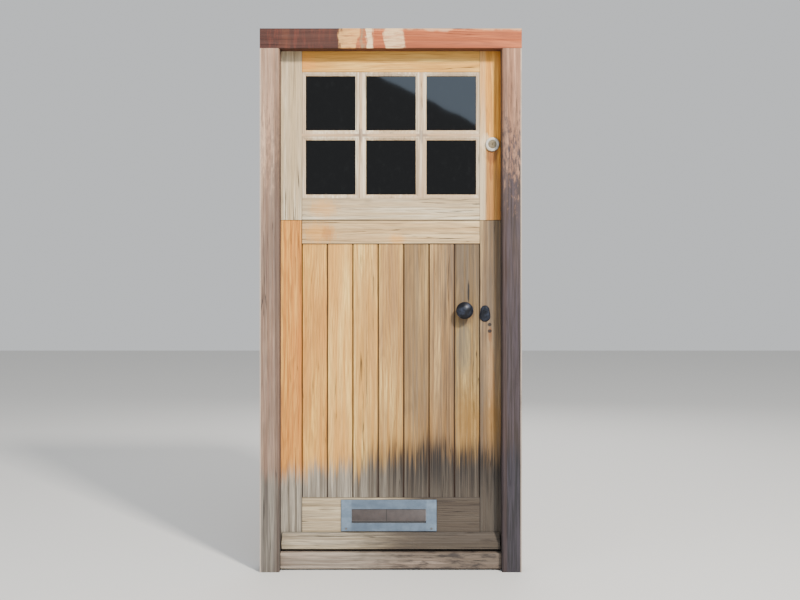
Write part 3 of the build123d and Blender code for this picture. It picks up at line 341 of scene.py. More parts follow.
def eased(name, finish, arris=0.0014, segments=2):
    """A CAD piece again as one closed mesh, with its arrises worn round, in its finish."""
    source = nodes[name]
    shape = bmesh.new()
    shape.from_mesh(source.data)
    bmesh.ops.remove_doubles(shape, verts=shape.verts, dist=same_place)
    bmesh.ops.dissolve_limit(shape, angle_limit=flat_limit, verts=shape.verts, edges=shape.edges)
    mesh = bpy.data.meshes.new(f"{name}_worn")
    shape.to_mesh(mesh)
    shape.free()
    mesh.shade_smooth()
    mesh.set_sharp_from_angle(angle=bend_limit)
    mesh.materials.append(finish.material)
    piece = bpy.data.objects.new(f"{name}_worn", mesh)
    bpy.context.scene.collection.objects.link(piece)
    bevel = piece.modifiers.new("worn_arrises", "BEVEL")
    bevel.width = arris
    bevel.segments = segments
    bevel.limit_method = "ANGLE"
    bevel.angle_limit = bend_limit
    bevel.use_clamp_overlap = True
    bevel.harden_normals = True
    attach(piece, source["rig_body"])
    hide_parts(name)


head_oak = oak("head_oak", "frame_head", "X", tone(202, 122, 70), tone(160, 86, 46), foot=0, cracks=0.54)
head_front = -0.049
frame_rain_start, frame_rain_full = 0.030, 0.010
stain_end, stain_whole = -0.13, -0.21
streaks_end, streaks_whole = -0.20, -0.26
patch_fade_in, patch_fade_out = 0.012, 0.018
top_wear_start, top_wear_full = 2.054, 2.066
top_wear_left, top_wear_right = -0.16, 0.05
head_x, head_y, head_z = head_oak.axes()
brush = head_oak.cloud((30, 1, 9), detail=4, roughness=0.6)
brushed_x = head_oak.stray(brush, 0.11, head_x)
head_outer = head_oak.rise(head_y, head_front + 0.001, head_front - 0.001)
rubbed = head_oak.cloud((14, 60, 130), detail=4, roughness=0.7)
head_rained = head_oak.rise(head_y, frame_rain_start, frame_rain_full)
stained = head_oak.rise(brushed_x, stain_end, stain_whole, 0.0, 0.93)
head_oak.coat(head_oak.times(stained, head_rained), tone(54, 20, 11))
streak = head_oak.cloud((62, 1, 9), detail=3, roughness=0.6)
streaked = head_oak.times(head_oak.rise(streak, 0.46, 0.70, 0.0, 0.6),
                          head_oak.rise(head_x, streaks_end, streaks_whole))
head_oak.coat(head_oak.times(streaked, head_rained), tone(112, 54, 34))
for patch_start, patch_end, patch_share, patch_colour in (
    (-0.430, -0.380, 0.25, tone(128, 76, 46)),
    (-0.200, -0.122, 0.80, tone(220, 172, 108)),
    (-0.126, -0.094, 0.60, tone(138, 140, 110)),
    (-0.098, -0.060, 0.80, tone(232, 210, 168)),
    (-0.026, 0.056, 0.70, tone(230, 204, 160)),
):
    patch = head_oak.times(head_oak.rise(brushed_x, patch_start, patch_start + patch_fade_in),
                           head_oak.rise(brushed_x, patch_end, patch_end - patch_fade_out, 0.0, patch_share))
    patch = head_oak.times(patch, head_oak.rise(rubbed, 0.34, 0.54, 0.35, 1.0))
    head_oak.coat(head_oak.times(patch, head_outer), patch_colour)
worn = head_oak.cloud((11, 1, 9), detail=3, roughness=0.55)
worn_top = head_oak.stray(worn, 0.05, head_z)
worn_share = head_oak.times(head_outer, head_oak.rise(worn_top, top_wear_start, top_wear_full, 0.0, 0.55))
worn_share = head_oak.times(worn_share, head_oak.rise(head_x, top_wear_left, top_wear_right))
head_oak.coat(worn_share, tone(214, 182, 146))
# Painted shade: the head's underside and the faces behind its front are darkened.
head_oak.coat(head_oak.rise(head_y, head_front, head_front + 0.010, 0.0, 0.45), tone(104, 56, 34))
eased("frame_head", head_oak, arris=0.0025)

jamb_dark, jamb_grey = tone(22, 20, 28), tone(62, 56, 66)
soot_and_shade_start, soot_and_shade_full = 1.80, 1.42
outer_arris_start, outer_arris_full = 0.4905, 0.4950
reveal_shade_start, reveal_shade_full = 0.444, 0.438
arris_back, arris_front = -0.044, -0.050
jamb_front, jamb_behind = -0.0535, -0.0515
for side, jamb_pale, jamb_deep, soot_and_shade in (
    ("left", tone(214, 180, 152), tone(172, 136, 110), 0.45),
    ("right", tone(206, 162, 132), tone(158, 116, 90), 0.92),
):
    way = 1 if side == "right" else -1
    jamb_oak = oak(f"jamb_{side}_oak", f"jamb_{side}", "Z", jamb_pale, jamb_deep, greying=0.2,
                   ring_pitch=0.007)
    jamb_x, jamb_y, jamb_z = jamb_oak.axes()
    speck = jamb_oak.cloud((120, 120, 34), detail=4, roughness=0.7)
    drawn = jamb_oak.cloud((150, 150, 5), detail=3, roughness=0.6)
    soot_and_shade_line = jamb_oak.stray(speck, 1.1, jamb_z)
    jamb_rained = jamb_oak.rise(jamb_y, frame_rain_start, frame_rain_full)
    # The jambs darken below a ragged line: partly soot and weather, partly painted shade, far more on the
    # right.
    soot_and_shade_share = jamb_oak.times(jamb_oak.rise(soot_and_shade_line, soot_and_shade_start, soot_and_shade_full, 0.0, soot_and_shade), jamb_rained)
    jamb_oak.coat(soot_and_shade_share, jamb_oak.mix(jamb_oak.rise(drawn, 0.34, 0.66), jamb_dark, jamb_grey))
    specks = jamb_oak.rise(speck, 0.66, 0.74, 0.0, soot_and_shade * 0.6)
    jamb_oak.coat(jamb_oak.times(specks, jamb_rained), check_black)
    outward = jamb_oak.times(jamb_x, way)
    arris = jamb_oak.times(jamb_oak.rise(outward, outer_arris_start, outer_arris_full, 0.0, 0.6),
                           jamb_oak.rise(jamb_y, arris_back, arris_front))
    jamb_oak.coat(arris, tone(206, 190, 174))
    # Painted shade: a dark band along each jamb's inner edge, and a lighter one over its reveal.
    reveal_shade = jamb_oak.times(jamb_oak.rise(outward, reveal_shade_start, reveal_shade_full),
                                jamb_oak.rise(jamb_y, jamb_front, jamb_behind, 0.55, 0.25))
    jamb_oak.coat(reveal_shade, tone(70, 46, 32))
    eased(f"jamb_{side}", jamb_oak, arris=0.0025)

peg_oak = oak("peg_oak", "frame_pegs", "X", tone(150, 120, 90), tone(98, 74, 52), greying=0.3, foot=0)
eased("frame_pegs", peg_oak, arris=0.0006)


# The sill: one oak plank between the jambs, with a rounded nose and an undercut that sheds rain. It is
# bare and silvered, checked along its length, and darker towards the lock side, partly with damp and
# mostly with painted shade.

sill_oak = oak("sill_oak", "sill", "X", tone(194, 174, 158), tone(148, 128, 114), greying=0.45, foot=0)
sill_dry_lit_x, sill_damp_shaded_x = -0.3, 0.2
sill_damp_and_shade = sill_oak.cloud((14, 40, 60), detail=4, roughness=0.65)
sill_x = sill_oak.axes()[0]
sill_damp_and_shade_share = sill_oak.times(sill_oak.rise(sill_damp_and_shade, 0.44, 0.66),
                            sill_oak.rise(sill_x, sill_dry_lit_x, sill_damp_shaded_x))
# Darker towards the lock side: mostly painted shade, partly damp.
sill_oak.coat(sill_oak.times(sill_damp_and_shade_share, 0.85), tone(50, 43, 40))
eased("sill", sill_oak, arris=0.002)


# The hinges: two pairs of steel butt hinges, each of two flaps let into jamb and leaf, five knuckles and a
# loose pin. They stand indoors. Their zinc has dulled and rust has started in spots.

grit_depth = 0.0002


def metal(name, colour, roughness, metallic, rust=0.3, tarnished=0.55):
    """A worn metal finish: a base colour, cloudy tarnish down to the given part of its brightness, and rust
    that starts in spots."""
    finish = Finish(name, roughness, metallic)
    tarnish = finish.cloud((38, 38, 38), detail=4, roughness=0.6)
    grit = finish.cloud((160, 160, 160), detail=4, roughness=0.7)
    spots = finish.cloud((85, 85, 85), (3.1, 1.7, 5.3), detail=4, roughness=0.7)
    dark = (*[part * tarnished for part in colour[:3]], 1)
    finish.spread(finish.mix(finish.rise(tarnish, 0.35, 0.68), colour, dark))
    finish.coat(finish.rise(spots, 0.60, 0.72, 0.0, rust), tone(122, 68, 38))
    finish.relief(grit, grit_depth, 0.5)
    finish.dulling(grit, roughness - 0.12, roughness + 0.16)
    return finish


hinge_steel = metal("hinge_steel", tone(150, 150, 148), 0.42, 0.9, rust=0.5)
for name in ("frame_hinge_flaps", "hinge_pins", "upper_hinge_flaps", "lower_hinge_flaps"):
    eased(name, hinge_steel, arris=0.0004)


# The upper leaf's framing: two oak stiles and two rails, mortised, tenoned and wedged. The lock stile and
# the top rail have weathered gold, and the hinge stile and the bottom rail cream.

gold_pale, gold_deep = tone(234, 182, 90), tone(204, 140, 50)
cream_pale, cream_deep = tone(228, 216, 190), tone(200, 176, 138)
honey_patch = tone(212, 156, 76)
wedge_pale, wedge_deep = tone(170, 128, 84), tone(120, 84, 52)
shoulder_start, shoulder_end = 0.3392, 0.3424
stain_start, stain_full = 0.033, 0.027


def blot(finish, middle, reach, colour, share, ragged=0.5, soft=0.5):
    """A stain about a place (x, z) on the outer side, reach metres to each side and up and down, with a
    ragged edge that follows the fibres. Soft is the part of its reach over which it fades."""
    x, y, z = finish.axes()
    aside = finish.reckon("DIVIDE", finish.reckon("SUBTRACT", x, middle[0]), reach[0])
    above = finish.reckon("DIVIDE", finish.reckon("SUBTRACT", z, middle[1]), reach[1])
    away = finish.reckon("SQRT", finish.reckon("MULTIPLY_ADD", aside, aside, finish.times(above, above)))
    edge = finish.cloud((110, 110, 34), detail=4, roughness=0.65)
    away = finish.stray(edge, ragged * 2, away)
    outer = finish.rise(y, stain_start, stain_full)
    finish.coat(finish.times(outer, finish.rise(away, 1.0, 1.0 - soft, 0.0, share)), colour)


def shoulders(finish):
    """Dirt in the joint lines where a rail's shoulders meet the stiles."""
    aside = finish.reckon("ABSOLUTE", finish.axes()[0])
    finish.coat(finish.rise(aside, shoulder_start, shoulder_end, 0.0, 0.65), check_black)


upper_left_oak = oak("upper_stile_left_oak", "upper_stile_left", "Z", cream_pale, cream_deep, greying=0.12,
                     foot=0)
eased("upper_stile_left", upper_left_oak)

upper_right_oak = oak("upper_stile_right_oak", "upper_stile_right", "Z", gold_pale, gold_deep, foot=0)
brown_start, brown_full = 1.60, 1.50
fade_start, fade_full = 1.90, 1.55
inner_edge_start, inner_edge_full = 0.372, 0.356
gold_x, _, gold_z = upper_right_oak.axes()
run = upper_right_oak.cloud((90, 90, 3), detail=4, roughness=0.6)
browned = upper_right_oak.stray(run, 0.30, gold_z)
upper_right_oak.coat(upper_right_oak.rise(browned, brown_start, brown_full, 0.0, 0.62), tone(146, 104, 58))
faded = upper_right_oak.times(upper_right_oak.rise(gold_x, inner_edge_start, inner_edge_full),
                              upper_right_oak.rise(browned, fade_start, fade_full, 0.2, 0.8))
upper_right_oak.coat(faded, tone(206, 190, 160))
# The brown run below the night latch, and a pale patch beside it.
blot(upper_right_oak, (0.388, 1.600), (0.030, 0.060), tone(112, 66, 28), 0.75)
blot(upper_right_oak, (0.386, 1.555), (0.012, 0.085), tone(150, 92, 32), 0.6)
blot(upper_right_oak, (0.366, 1.640), (0.026, 0.040), tone(226, 206, 172), 0.55)
eased("upper_stile_right", upper_right_oak)

top_rail_oak = oak("upper_top_rail_oak", "upper_top_rail", "X", tone(236, 202, 124), tone(208, 154, 70),
                   foot=0)
blot(top_rail_oak, (-0.36, 1.945), (0.09, 0.05), tone(214, 146, 60), 0.6)
shoulders(top_rail_oak)
eased("upper_top_rail", top_rail_oak)

bottom_rail_oak = oak("upper_bottom_rail_oak", "upper_bottom_rail", "X", cream_pale, cream_deep, greying=0.16,
                      foot=0, cracks=0.40)
blot(bottom_rail_oak, (-0.26, 1.385), (0.08, 0.055), honey_patch, 0.5, soft=0.8)
shoulders(bottom_rail_oak)
eased("upper_bottom_rail", bottom_rail_oak)
wedge_oak = oak("wedge_oak", "upper_wedges", "X", wedge_pale, wedge_deep, foot=0)
eased("upper_wedges", wedge_oak, arris=0.0004)


# The glazing bars and beads: slender oak bars, stub tenoned into one another, with mitred beads that hold
# the panes from outside. Old limewash has left them pale.

bar_pale, bar_deep = tone(228, 210, 182), tone(204, 168, 128)
joint_x, joint_z = 0.1163, 1.666
upright_oak = oak("upright_bar_oak", "glazing_bars_upright", "Z", bar_pale, bar_deep, greying=0.12, foot=0)
cross_oak = oak("cross_bar_oak", "glazing_bars_cross", "X", bar_pale, bar_deep, greying=0.12, foot=0)
for bar_oak in (upright_oak, cross_oak):
    for x in (-joint_x, joint_x):
        blot(bar_oak, (x, joint_z), (0.030, 0.034), tone(118, 112, 108), 0.5, ragged=0.9)
eased("glazing_bars_upright", upright_oak, arris=0.0008)
eased("glazing_bars_cross", cross_oak, arris=0.0008)
bead_oak = oak("bead_oak", "glazing_beads", "Z", tone(232, 218, 192), tone(206, 180, 146), greying=0.10,
               foot=0)
eased("glazing_beads", bead_oak, arris=0.0005)


# The panes: six small sheets of old drawn glass, faintly wavy and a little dusty, which lie in the rebates
# of the bars behind the beads. They are painted near black, a painted shade for the dark room behind them.

def paint_node(finish, name):
    """Gives a CAD piece whose shape is right its finish."""
    mesh = nodes[name].data
    mesh.materials.clear()
    mesh.materials.append(finish.material)


weak_mirroring = 0.36
pane_glass = Finish("pane_glass", 0.03)
ripple = pane_glass.cloud((7, 7, 3), detail=1)
dust = pane_glass.cloud((55, 55, 40), detail=4, roughness=0.75)
dust_share = pane_glass.rise(dust, 0.52, 0.80, 0.0, 0.25)
pane_glass.spread(pane_glass.mix(dust_share, tone(7, 8, 10), tone(46, 48, 48)))
pane_glass.relief(ripple, 0.0006, 0.6)
pane_glass.shader.inputs["Specular IOR Level"].default_value = weak_mirroring
paint_node(pane_glass, "panes")


# The lower leaf's framing: oak stiles and rails, mortised, tenoned and wedged like the upper leaf's, with a
# lock rail and a brace behind the boards. Its top rail is cream like the rail above it, and its foot has
# greyed with splashed rain.

low_left_oak = oak("lower_stile_left_oak", "lower_stile_left", "Z", tone(232, 178, 92), tone(202, 134, 56))
eased("lower_stile_left", low_left_oak)

gold_stain = tone(134, 98, 34)
# The lock stile is greyer and darker than the hinge stile, partly weathering and partly painted shade.
low_right_oak = oak("lower_stile_right_oak", "lower_stile_right", "Z", tone(200, 172, 128),
                    tone(150, 120, 84), greying=0.48)
blot(low_right_oak, (0.386, 0.720), (0.016, 0.200), tone(142, 100, 50), 0.55)
blot(low_right_oak, (0.392, 0.580), (0.055, 0.150), gold_stain, 0.5, soft=0.9)
blot(low_right_oak, (0.381, 0.900), (0.009, 0.040), tone(130, 82, 34), 0.6)
# Two stained nail holes below the keyhole.
nail_x, nail_heights = 0.380, (0.937, 0.912)
for nail_z in nail_heights:
    blot(low_right_oak, (nail_x, nail_z), (0.0095, 0.0085), tone(30, 18, 12), 0.92, ragged=0.25, soft=0.4)
eased("lower_stile_right", low_right_oak)

low_top_oak = oak("lower_top_rail_oak", "lower_top_rail", "X", tone(230, 208, 168), tone(204, 170, 122),
                  greying=0.14, cracks=0.42)
blot(low_top_oak, (-0.280, 1.290), (0.095, 0.055), honey_patch, 0.75, soft=0.8)
blot(low_top_oak, (-0.244, 1.285), (0.034, 0.038), tone(172, 112, 48), 0.55, soft=0.8)
blot(low_top_oak, (0.022, 1.266), (0.045, 0.030), honey_patch, 0.6, soft=0.8)
shoulders(low_top_oak)
eased("lower_top_rail", low_top_oak)

damp_and_shade_start = -0.20


def damp_and_shade(finish, damp_and_shade_full, most):
    """How dark a timber at the foot of the leaf turns towards the right, with a ragged edge: partly the damp
    that stays there, partly painted shade.
    """
    ragged = finish.cloud((7, 60, 90), detail=4, roughness=0.65)
    ragged_x = finish.stray(ragged, 0.55, finish.axes()[0])
    return finish.rise(ragged_x, damp_and_shade_start, damp_and_shade_full, 0.0, most)


low_rail_oak = oak("lower_bottom_rail_oak", "lower_bottom_rail", "X", tone(222, 206, 174),
                   tone(184, 164, 130), greying=0.25, foot=0, cracks=0.42)
foot_x, foot_y, foot_z = low_rail_oak.axes()
foot_rain_start, foot_rain_full = 0.030, 0.018
foot_rained = low_rail_oak.rise(foot_y, foot_rain_start, foot_rain_full)
foot_damp_and_shade = damp_and_shade(low_rail_oak, damp_and_shade_full=0.16, most=0.9)
# Darker towards the right: partly damp, partly painted shade.
low_rail_oak.coat(low_rail_oak.times(foot_damp_and_shade, foot_rained), tone(64, 54, 49))
# Painted shade: the inside of the slot behind the letter plate is painted near black.
slot_low, slot_high, slot_left, slot_right = 0.166, 0.240, -0.166, 0.150
slot_front, slot_back = 0.0085, 0.0515
slot_fade, slot_edge = 0.0015, 0.004
slot_shade = low_rail_oak.times(low_rail_oak.rise(foot_y, slot_front, slot_front + slot_fade),
                             low_rail_oak.rise(foot_y, slot_back, slot_back - slot_fade))
for value, side, inward in ((foot_x, slot_left, slot_edge), (foot_x, slot_right, -slot_edge),
                            (foot_z, slot_low, slot_edge), (foot_z, slot_high, -slot_edge)):
    slot_shade = low_rail_oak.times(slot_shade, low_rail_oak.rise(value, side, side + inward))
low_rail_oak.coat(slot_shade, tone(14, 11, 9))
shoulders(low_rail_oak)
eased("lower_bottom_rail", low_rail_oak)

inner_pale, inner_deep = tone(206, 166, 116), tone(164, 118, 72)
eased("lock_rail", oak("lock_rail_oak", "lock_rail", "X", inner_pale, inner_deep, foot=0))
brace_rise = 43
brace_oak = oak("brace_oak", "brace", "X", inner_pale, inner_deep, foot=0, edge_dirt_and_shade=0, lean=brace_rise)
eased("brace", brace_oak)
low_wedge_oak = oak("low_wedge_oak", "lower_wedges", "X", wedge_pale, wedge_deep)
eased("lower_wedges", low_wedge_oak, arris=0.0004)


# The seven boards: tongued and grooved oak with a V at each joint. No two came from the same tree, so each
# has its own tone, from gold at the hinge side to grey-brown at the lock side; the greyer, darker tones
# towards the lock side are partly painted shade.

board_tones = (
    (tone(234, 188, 100), tone(204, 146, 66), 0.03),
    (tone(240, 204, 124), tone(214, 160, 80), 0.05),
    (tone(232, 198, 124), tone(204, 154, 78), 0.10),
    (tone(224, 188, 118), tone(186, 140, 74), 0.20),
    (tone(208, 176, 116), tone(164, 128, 76), 0.36),
    (tone(200, 166, 112), tone(150, 114, 70), 0.44),
    (tone(198, 168, 106), tone(146, 114, 62), 0.46),
)
joint_mouth, joint_depth = 0.0109, 0.0132
board_back = 0.0300
rail_shadow_start, rail_shadow_full = 1.2415, 1.2475
for number, (pale, deep, grey) in enumerate(board_tones, 1):
    name = f"board_{number}"
    board_oak = oak(f"{name}_oak", name, "Z", pale, deep, greying=grey, edge_dirt_and_shade=0.0)
    _, board_y, board_z = board_oak.axes()
    # The V joints darken with depth, partly dirt and partly painted shade.
    joint_dirt_and_shade = board_oak.times(board_oak.rise(board_y, joint_mouth, joint_depth, 0.0, 0.85),
                                 board_oak.rise(board_y, board_back, board_back - 0.001))
    board_oak.coat(joint_dirt_and_shade, tone(58, 36, 22))
    # Painted shadow: a dark band across the top of each board, under the rail above it.
    board_oak.coat(board_oak.rise(board_z, rail_shadow_start, rail_shadow_full, 0.0, 0.6), tone(70, 46, 30))
    if number == len(board_tones):
        # Gold low down, a grey patch, a deep split above the knob, and a brown mark about it, partly grime
        # and partly a painted shadow of the knob.
        blot(board_oak, (0.296, 0.600), (0.070, 0.160), gold_stain, 0.6, soft=0.9)
        blot(board_oak, (0.280, 0.850), (0.036, 0.130), tone(104, 99, 86), 0.5)
        blot(board_oak, (0.2985, 1.063), (0.0050, 0.056), check_black, 0.97, ragged=0.3)
        blot(board_oak, (0.288, 0.972), (0.040, 0.050), tone(84, 60, 42), 0.55)
    eased(name, board_oak, arris=0.0008)


# The weatherboard: a moulded oak board along the foot of the leaf, which throws rain clear of the sill. It
# is bare and grey, and darker on the right, partly where it stays wet and mostly with painted shade.

weather_oak = oak("weatherboard_oak", "weatherboard", "X", tone(200, 184, 156), tone(154, 138, 112),
                  greying=0.4, foot=0, cracks=0.42)
# Darker on the right: mostly painted shade, partly damp.
weather_oak.coat(damp_and_shade(weather_oak, damp_and_shade_full=0.10, most=0.85), tone(66, 56, 48))
eased("weatherboard", weather_oak, arris=0.0016)


# The night latch: a thick chromed ring and a brass rim cylinder outside, and the sprung case, its bolt and
# its turn indoors. The chrome has gone milky and the brass brown.

def lathe(name, centre, profile, finish, body, stands_for, around=72):
    """A turned piece on an axis along Y through (x, z). Its half section is given as (radius, y)."""
    x, z = centre
    corners, faces, rows = [], [], []
    for radius, y in profile:
        start = len(corners)
        count = 1 if radius == 0 else around
        for number in range(count):
            turn = math.tau * number / around
            corners.append((x + radius * math.cos(turn), y, z + radius * math.sin(turn)))
        rows.append((start, count))
    for (first, one), (second, other) in zip(rows, rows[1:]):
        for number in range(around):
            following = (number + 1) % around
            ring = [first + number % one, first + following % one, second + following % other,
                    second + number % other]
            faces.append(list(dict.fromkeys(ring)))
    if rows[0][1] > 1:
        start, end = rows[-1][0], rows[0][0]
        for number in range(around):
            following = (number + 1) % around
            faces.append([start + number, start + following, end + following, end + number])
    mesh = bpy.data.meshes.new(name)
    mesh.from_pydata(corners, [], faces)
    shape = bmesh.new()
    shape.from_mesh(mesh)
    bmesh.ops.recalc_face_normals(shape, faces=shape.faces)
    shape.to_mesh(mesh)
    shape.free()
    mesh.shade_smooth()
    mesh.set_sharp_from_angle(angle=bend_limit)
    mesh.materials.append(finish.material)
    piece = bpy.data.objects.new(name, mesh)
    bpy.context.scene.collection.objects.link(piece)
    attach(piece, body)
    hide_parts(stands_for)


def arc(start, middle, end, steps):
    """Points on the arc from start through middle to end, without its start."""
    (ax, ay), (bx, by), (cx, cy) = start, middle, end
    area = 2 * (ax * (by - cy) + bx * (cy - ay) + cx * (ay - by))
    a_square, b_square, c_square = (x * x + y * y for x, y in (start, middle, end))
    ux = (a_square * (by - cy) + b_square * (cy - ay) + c_square * (ay - by)) / area
    uy = (a_square * (cx - bx) + b_square * (ax - cx) + c_square * (bx - ax)) / area
    radius = math.hypot(ax - ux, ay - uy)
    first, last = (math.atan2(y - uy, x - ux) for x, y in (start, end))
    halfway = math.atan2(by - uy, bx - ux)
    sweep = (last - first) % math.tau
    if (halfway - first) % math.tau > sweep:
        sweep -= math.tau
    turns = [first + sweep * step / steps for step in range(1, steps + 1)]
    return [(ux + radius * math.cos(turn), uy + radius * math.sin(turn)) for turn in turns]


latch_grey = metal("latch_grey", tone(196, 190, 178), 0.46, 0.25, rust=0.12, tarnished=0.72)
latch_brass = metal("latch_brass", tone(138, 124, 100), 0.40, 0.8, rust=0.15)
night_centre = (0.390, 1.630)
leaf_face = 0.0075
ring_bore, ring_radius, ring_front = 0.0161, 0.027, -0.0005
ring_shoulder, ring_lip = (ring_radius, 0.0025), (0.0180, ring_front)
ring_profile = [(ring_bore, leaf_face), (ring_radius, leaf_face), ring_shoulder]
ring_profile += arc(ring_shoulder, (0.0261, 0.0004), (0.024, ring_front), 6)
ring_profile += [ring_lip, *arc(ring_lip, (0.0167, 0.0), (ring_bore, 0.0012), 4)]
lathe("night_latch_ring", night_centre, ring_profile, latch_grey, "upper_leaf", "night_latch_rose")
eased("night_latch_cylinder", latch_brass, arris=0.0004)
eased("night_latch_plug", latch_brass, arris=0.0003)
eased("night_latch_turn", latch_brass, arris=0.0008)

bolt_steel = metal("bolt_steel", tone(168, 166, 160), 0.34, 0.95, rust=0.3)
japanned = metal("japanned_steel", tone(44, 38, 34), 0.36, 0.1, rust=0.35)
eased("night_latch_bolt", bolt_steel, arris=0.0006)
eased("night_latch_case", japanned, arris=0.0012, segments=3)
eased("night_latch_keep", japanned, arris=0.0010)


# The letter plate: a cast zinc plate let flush over a slot in the bottom rail, with a sprung flap in its
# window. Paint and weather have left it blue-grey. Painted shade darkens its middle about the flap and its
# set-back faces, the flap's own colour is darkened partly with painted shade, and a painted shadow lies
# along the flap's foot.

plate_zinc = metal("plate_zinc", tone(126, 142, 158), 0.5, 0.25, rust=0.10, tarnished=0.80)
plate_middle_x, flap_mark_x = -0.008, -0.017
window_side_start, window_side_full = 0.150, 0.138
plate_face, plate_recess = 0.0032, 0.0052
flap_foot_start, flap_foot_full = 0.184, 0.176
plate_x, plate_y, _ = plate_zinc.axes()
grime = plate_zinc.cloud((9, 60, 30), detail=4, roughness=0.6)
plate_zinc.coat(plate_zinc.rise(grime, 0.34, 0.66, 0.0, 0.45), tone(84, 98, 116))
window_aside = plate_zinc.reckon("ABSOLUTE", plate_zinc.reckon("SUBTRACT", plate_x, plate_middle_x))
# Painted shade: the plate is darker across the middle, about the window, and paler at its ends.
shade_about_window = plate_zinc.rise(window_aside, window_side_start, window_side_full, 0.0, 0.35)
plate_zinc.coat(shade_about_window, tone(66, 78, 94))
# Painted shade on the faces set back behind the plate's face.
plate_zinc.coat(plate_zinc.rise(plate_y, plate_face, plate_recess, 0.0, 0.85), tone(28, 32, 38))
# The flap's dark brownish grey is partly its own tarnish and partly painted shade.
flap_zinc = metal("flap_zinc", tone(88, 80, 78), 0.55, 0.2, rust=0.25, tarnished=0.75)
flap_x, _, flap_z = flap_zinc.axes()
mark_aside = flap_zinc.reckon("ABSOLUTE", flap_zinc.reckon("SUBTRACT", flap_x, flap_mark_x))
flap_zinc.coat(flap_zinc.rise(mark_aside, 0.0022, 0.0010, 0.0, 0.75), tone(40, 36, 36))
# Painted shadow: a dark band along the flap's foot.
flap_zinc.coat(flap_zinc.rise(flap_z, flap_foot_start, flap_foot_full, 0.0, 0.8), tone(30, 34, 42))
eased("letter_plate", plate_zinc, arris=0.0006)
eased("letter_flap", flap_zinc, arris=0.0006)
paint_node(bolt_steel, "letter_flap_pin")


# The rim lock: a japanned steel case screwed to the inner face, with a latch worked by the knob and a bolt
# thrown by the key, and a box keep on the jamb.

eased("lock_case", japanned, arris=0.0012, segments=3)
eased("lock_keep", japanned, arris=0.0012)
eased("latch_bolt", bolt_steel, arris=0.0006)
eased("dead_bolt", bolt_steel, arris=0.0006)
eased("lock_follower", bolt_steel, arris=0.0003)
eased("spindle", bolt_steel, arris=0.0003)


# The knobs: cast iron, turned and blacked, one on each end of the square spindle, with a small rose under
# the outer one. The blacking has worn to blue-grey in places and let rust through in others.

black_iron = Finish("black_iron", 0.4, metallic=0.55)
hammer = black_iron.cloud((120, 120, 120), detail=3, roughness=0.6)
wear = black_iron.cloud((30, 30, 30), detail=4, roughness=0.7)
black_iron.spread(black_iron.mix(black_iron.rise(wear, 0.42, 0.72), tone(26, 28, 36), tone(62, 68, 84)))
black_iron.coat(black_iron.rise(wear, 0.36, 0.28, 0.0, 0.6), tone(84, 50, 34))
black_iron.relief(hammer, 0.0004, 0.6)
black_iron.dulling(wear, 0.30, 0.52)

knob_centre = (0.282, 0.992)
neck_radius = 0.009
outer_radius, outer_stand, outer_foot = 0.033, 0.050, 0.0071
inner_radius, inner_stand, inner_foot = 0.028, 0.046, 0.0725


def knob_profile(radius, stand, foot, way):
    """A knob's half section, from its foot on the leaf to the crown of its dome. Way is which way along Y
    it stands out."""
    waist = (neck_radius, foot + way * stand * 0.25)
    throat = (radius * 0.62, foot + way * stand * 0.38)
    edge = (radius * 0.94, foot + way * stand * 0.55)
    widest = (radius, edge[1] + way * stand * 0.09)
    rim = (radius * 0.93, foot + way * stand * 0.75)
    crown = (0, foot + way * stand)
    rise = stand * 0.25
    ball = (rim[0] ** 2 + rise ** 2) / (2 * rise)
    dome = (rim[0] / 2, rim[1] + way * (rise - ball + math.sqrt(ball ** 2 - rim[0] ** 2 / 4)))
    profile = [(0, foot), (neck_radius, foot), waist]
    profile += arc(waist, throat, edge, 10)
    profile += arc(edge, widest, rim, 10)
    profile += arc(rim, dome, crown, 14)[:-1]
    return [*profile, crown]


lathe("outer_knob_turned", knob_centre, knob_profile(outer_radius, outer_stand, outer_foot, -1), black_iron,
      "knob", "outer_knob", around=96)
lathe("inner_knob_turned", knob_centre, knob_profile(inner_radius, inner_stand, inner_foot, 1), black_iron,
      "knob", "inner_knob", around=96)
rose_bore, rose_radius, rose_front = 0.0095, 0.025, 0.0035
rose_profile = [(rose_bore, leaf_face), (rose_radius, leaf_face)]
rose_profile += arc((rose_radius, leaf_face), (0.02325, 0.0047), (0.0175, rose_front), 8)
rose_profile.append((rose_bore, rose_front))
lathe("knob_rose_turned", knob_centre, rose_profile, black_iron, "lower_leaf", "knob_rose")


# The keyhole: a pear-shaped iron plate on the face of the leaf, and a cover that hangs on a rivet at its
# narrow end and swings aside. Both are blacked like the knob beside them.

eased("keyhole_plate", black_iron, arris=0.0005)
eased("keyhole_cover", black_iron, arris=0.0008, segments=3)


# The link bolt: a steel rod in two guides indoors, which drops from the upper leaf into the lower one, so
# that the two swing as one door.

for name in ("link_bolt_plate", "link_bolt", "link_bolt_keep"):
    eased(name, bolt_steel, arris=0.0005)


# The screws: slotted countersunk steel heads, which hold hinges, locks, keeps and the link bolt. One small
# head is made and set at every place, each turned its own way.

turn_seed = 11
head_sides = 28


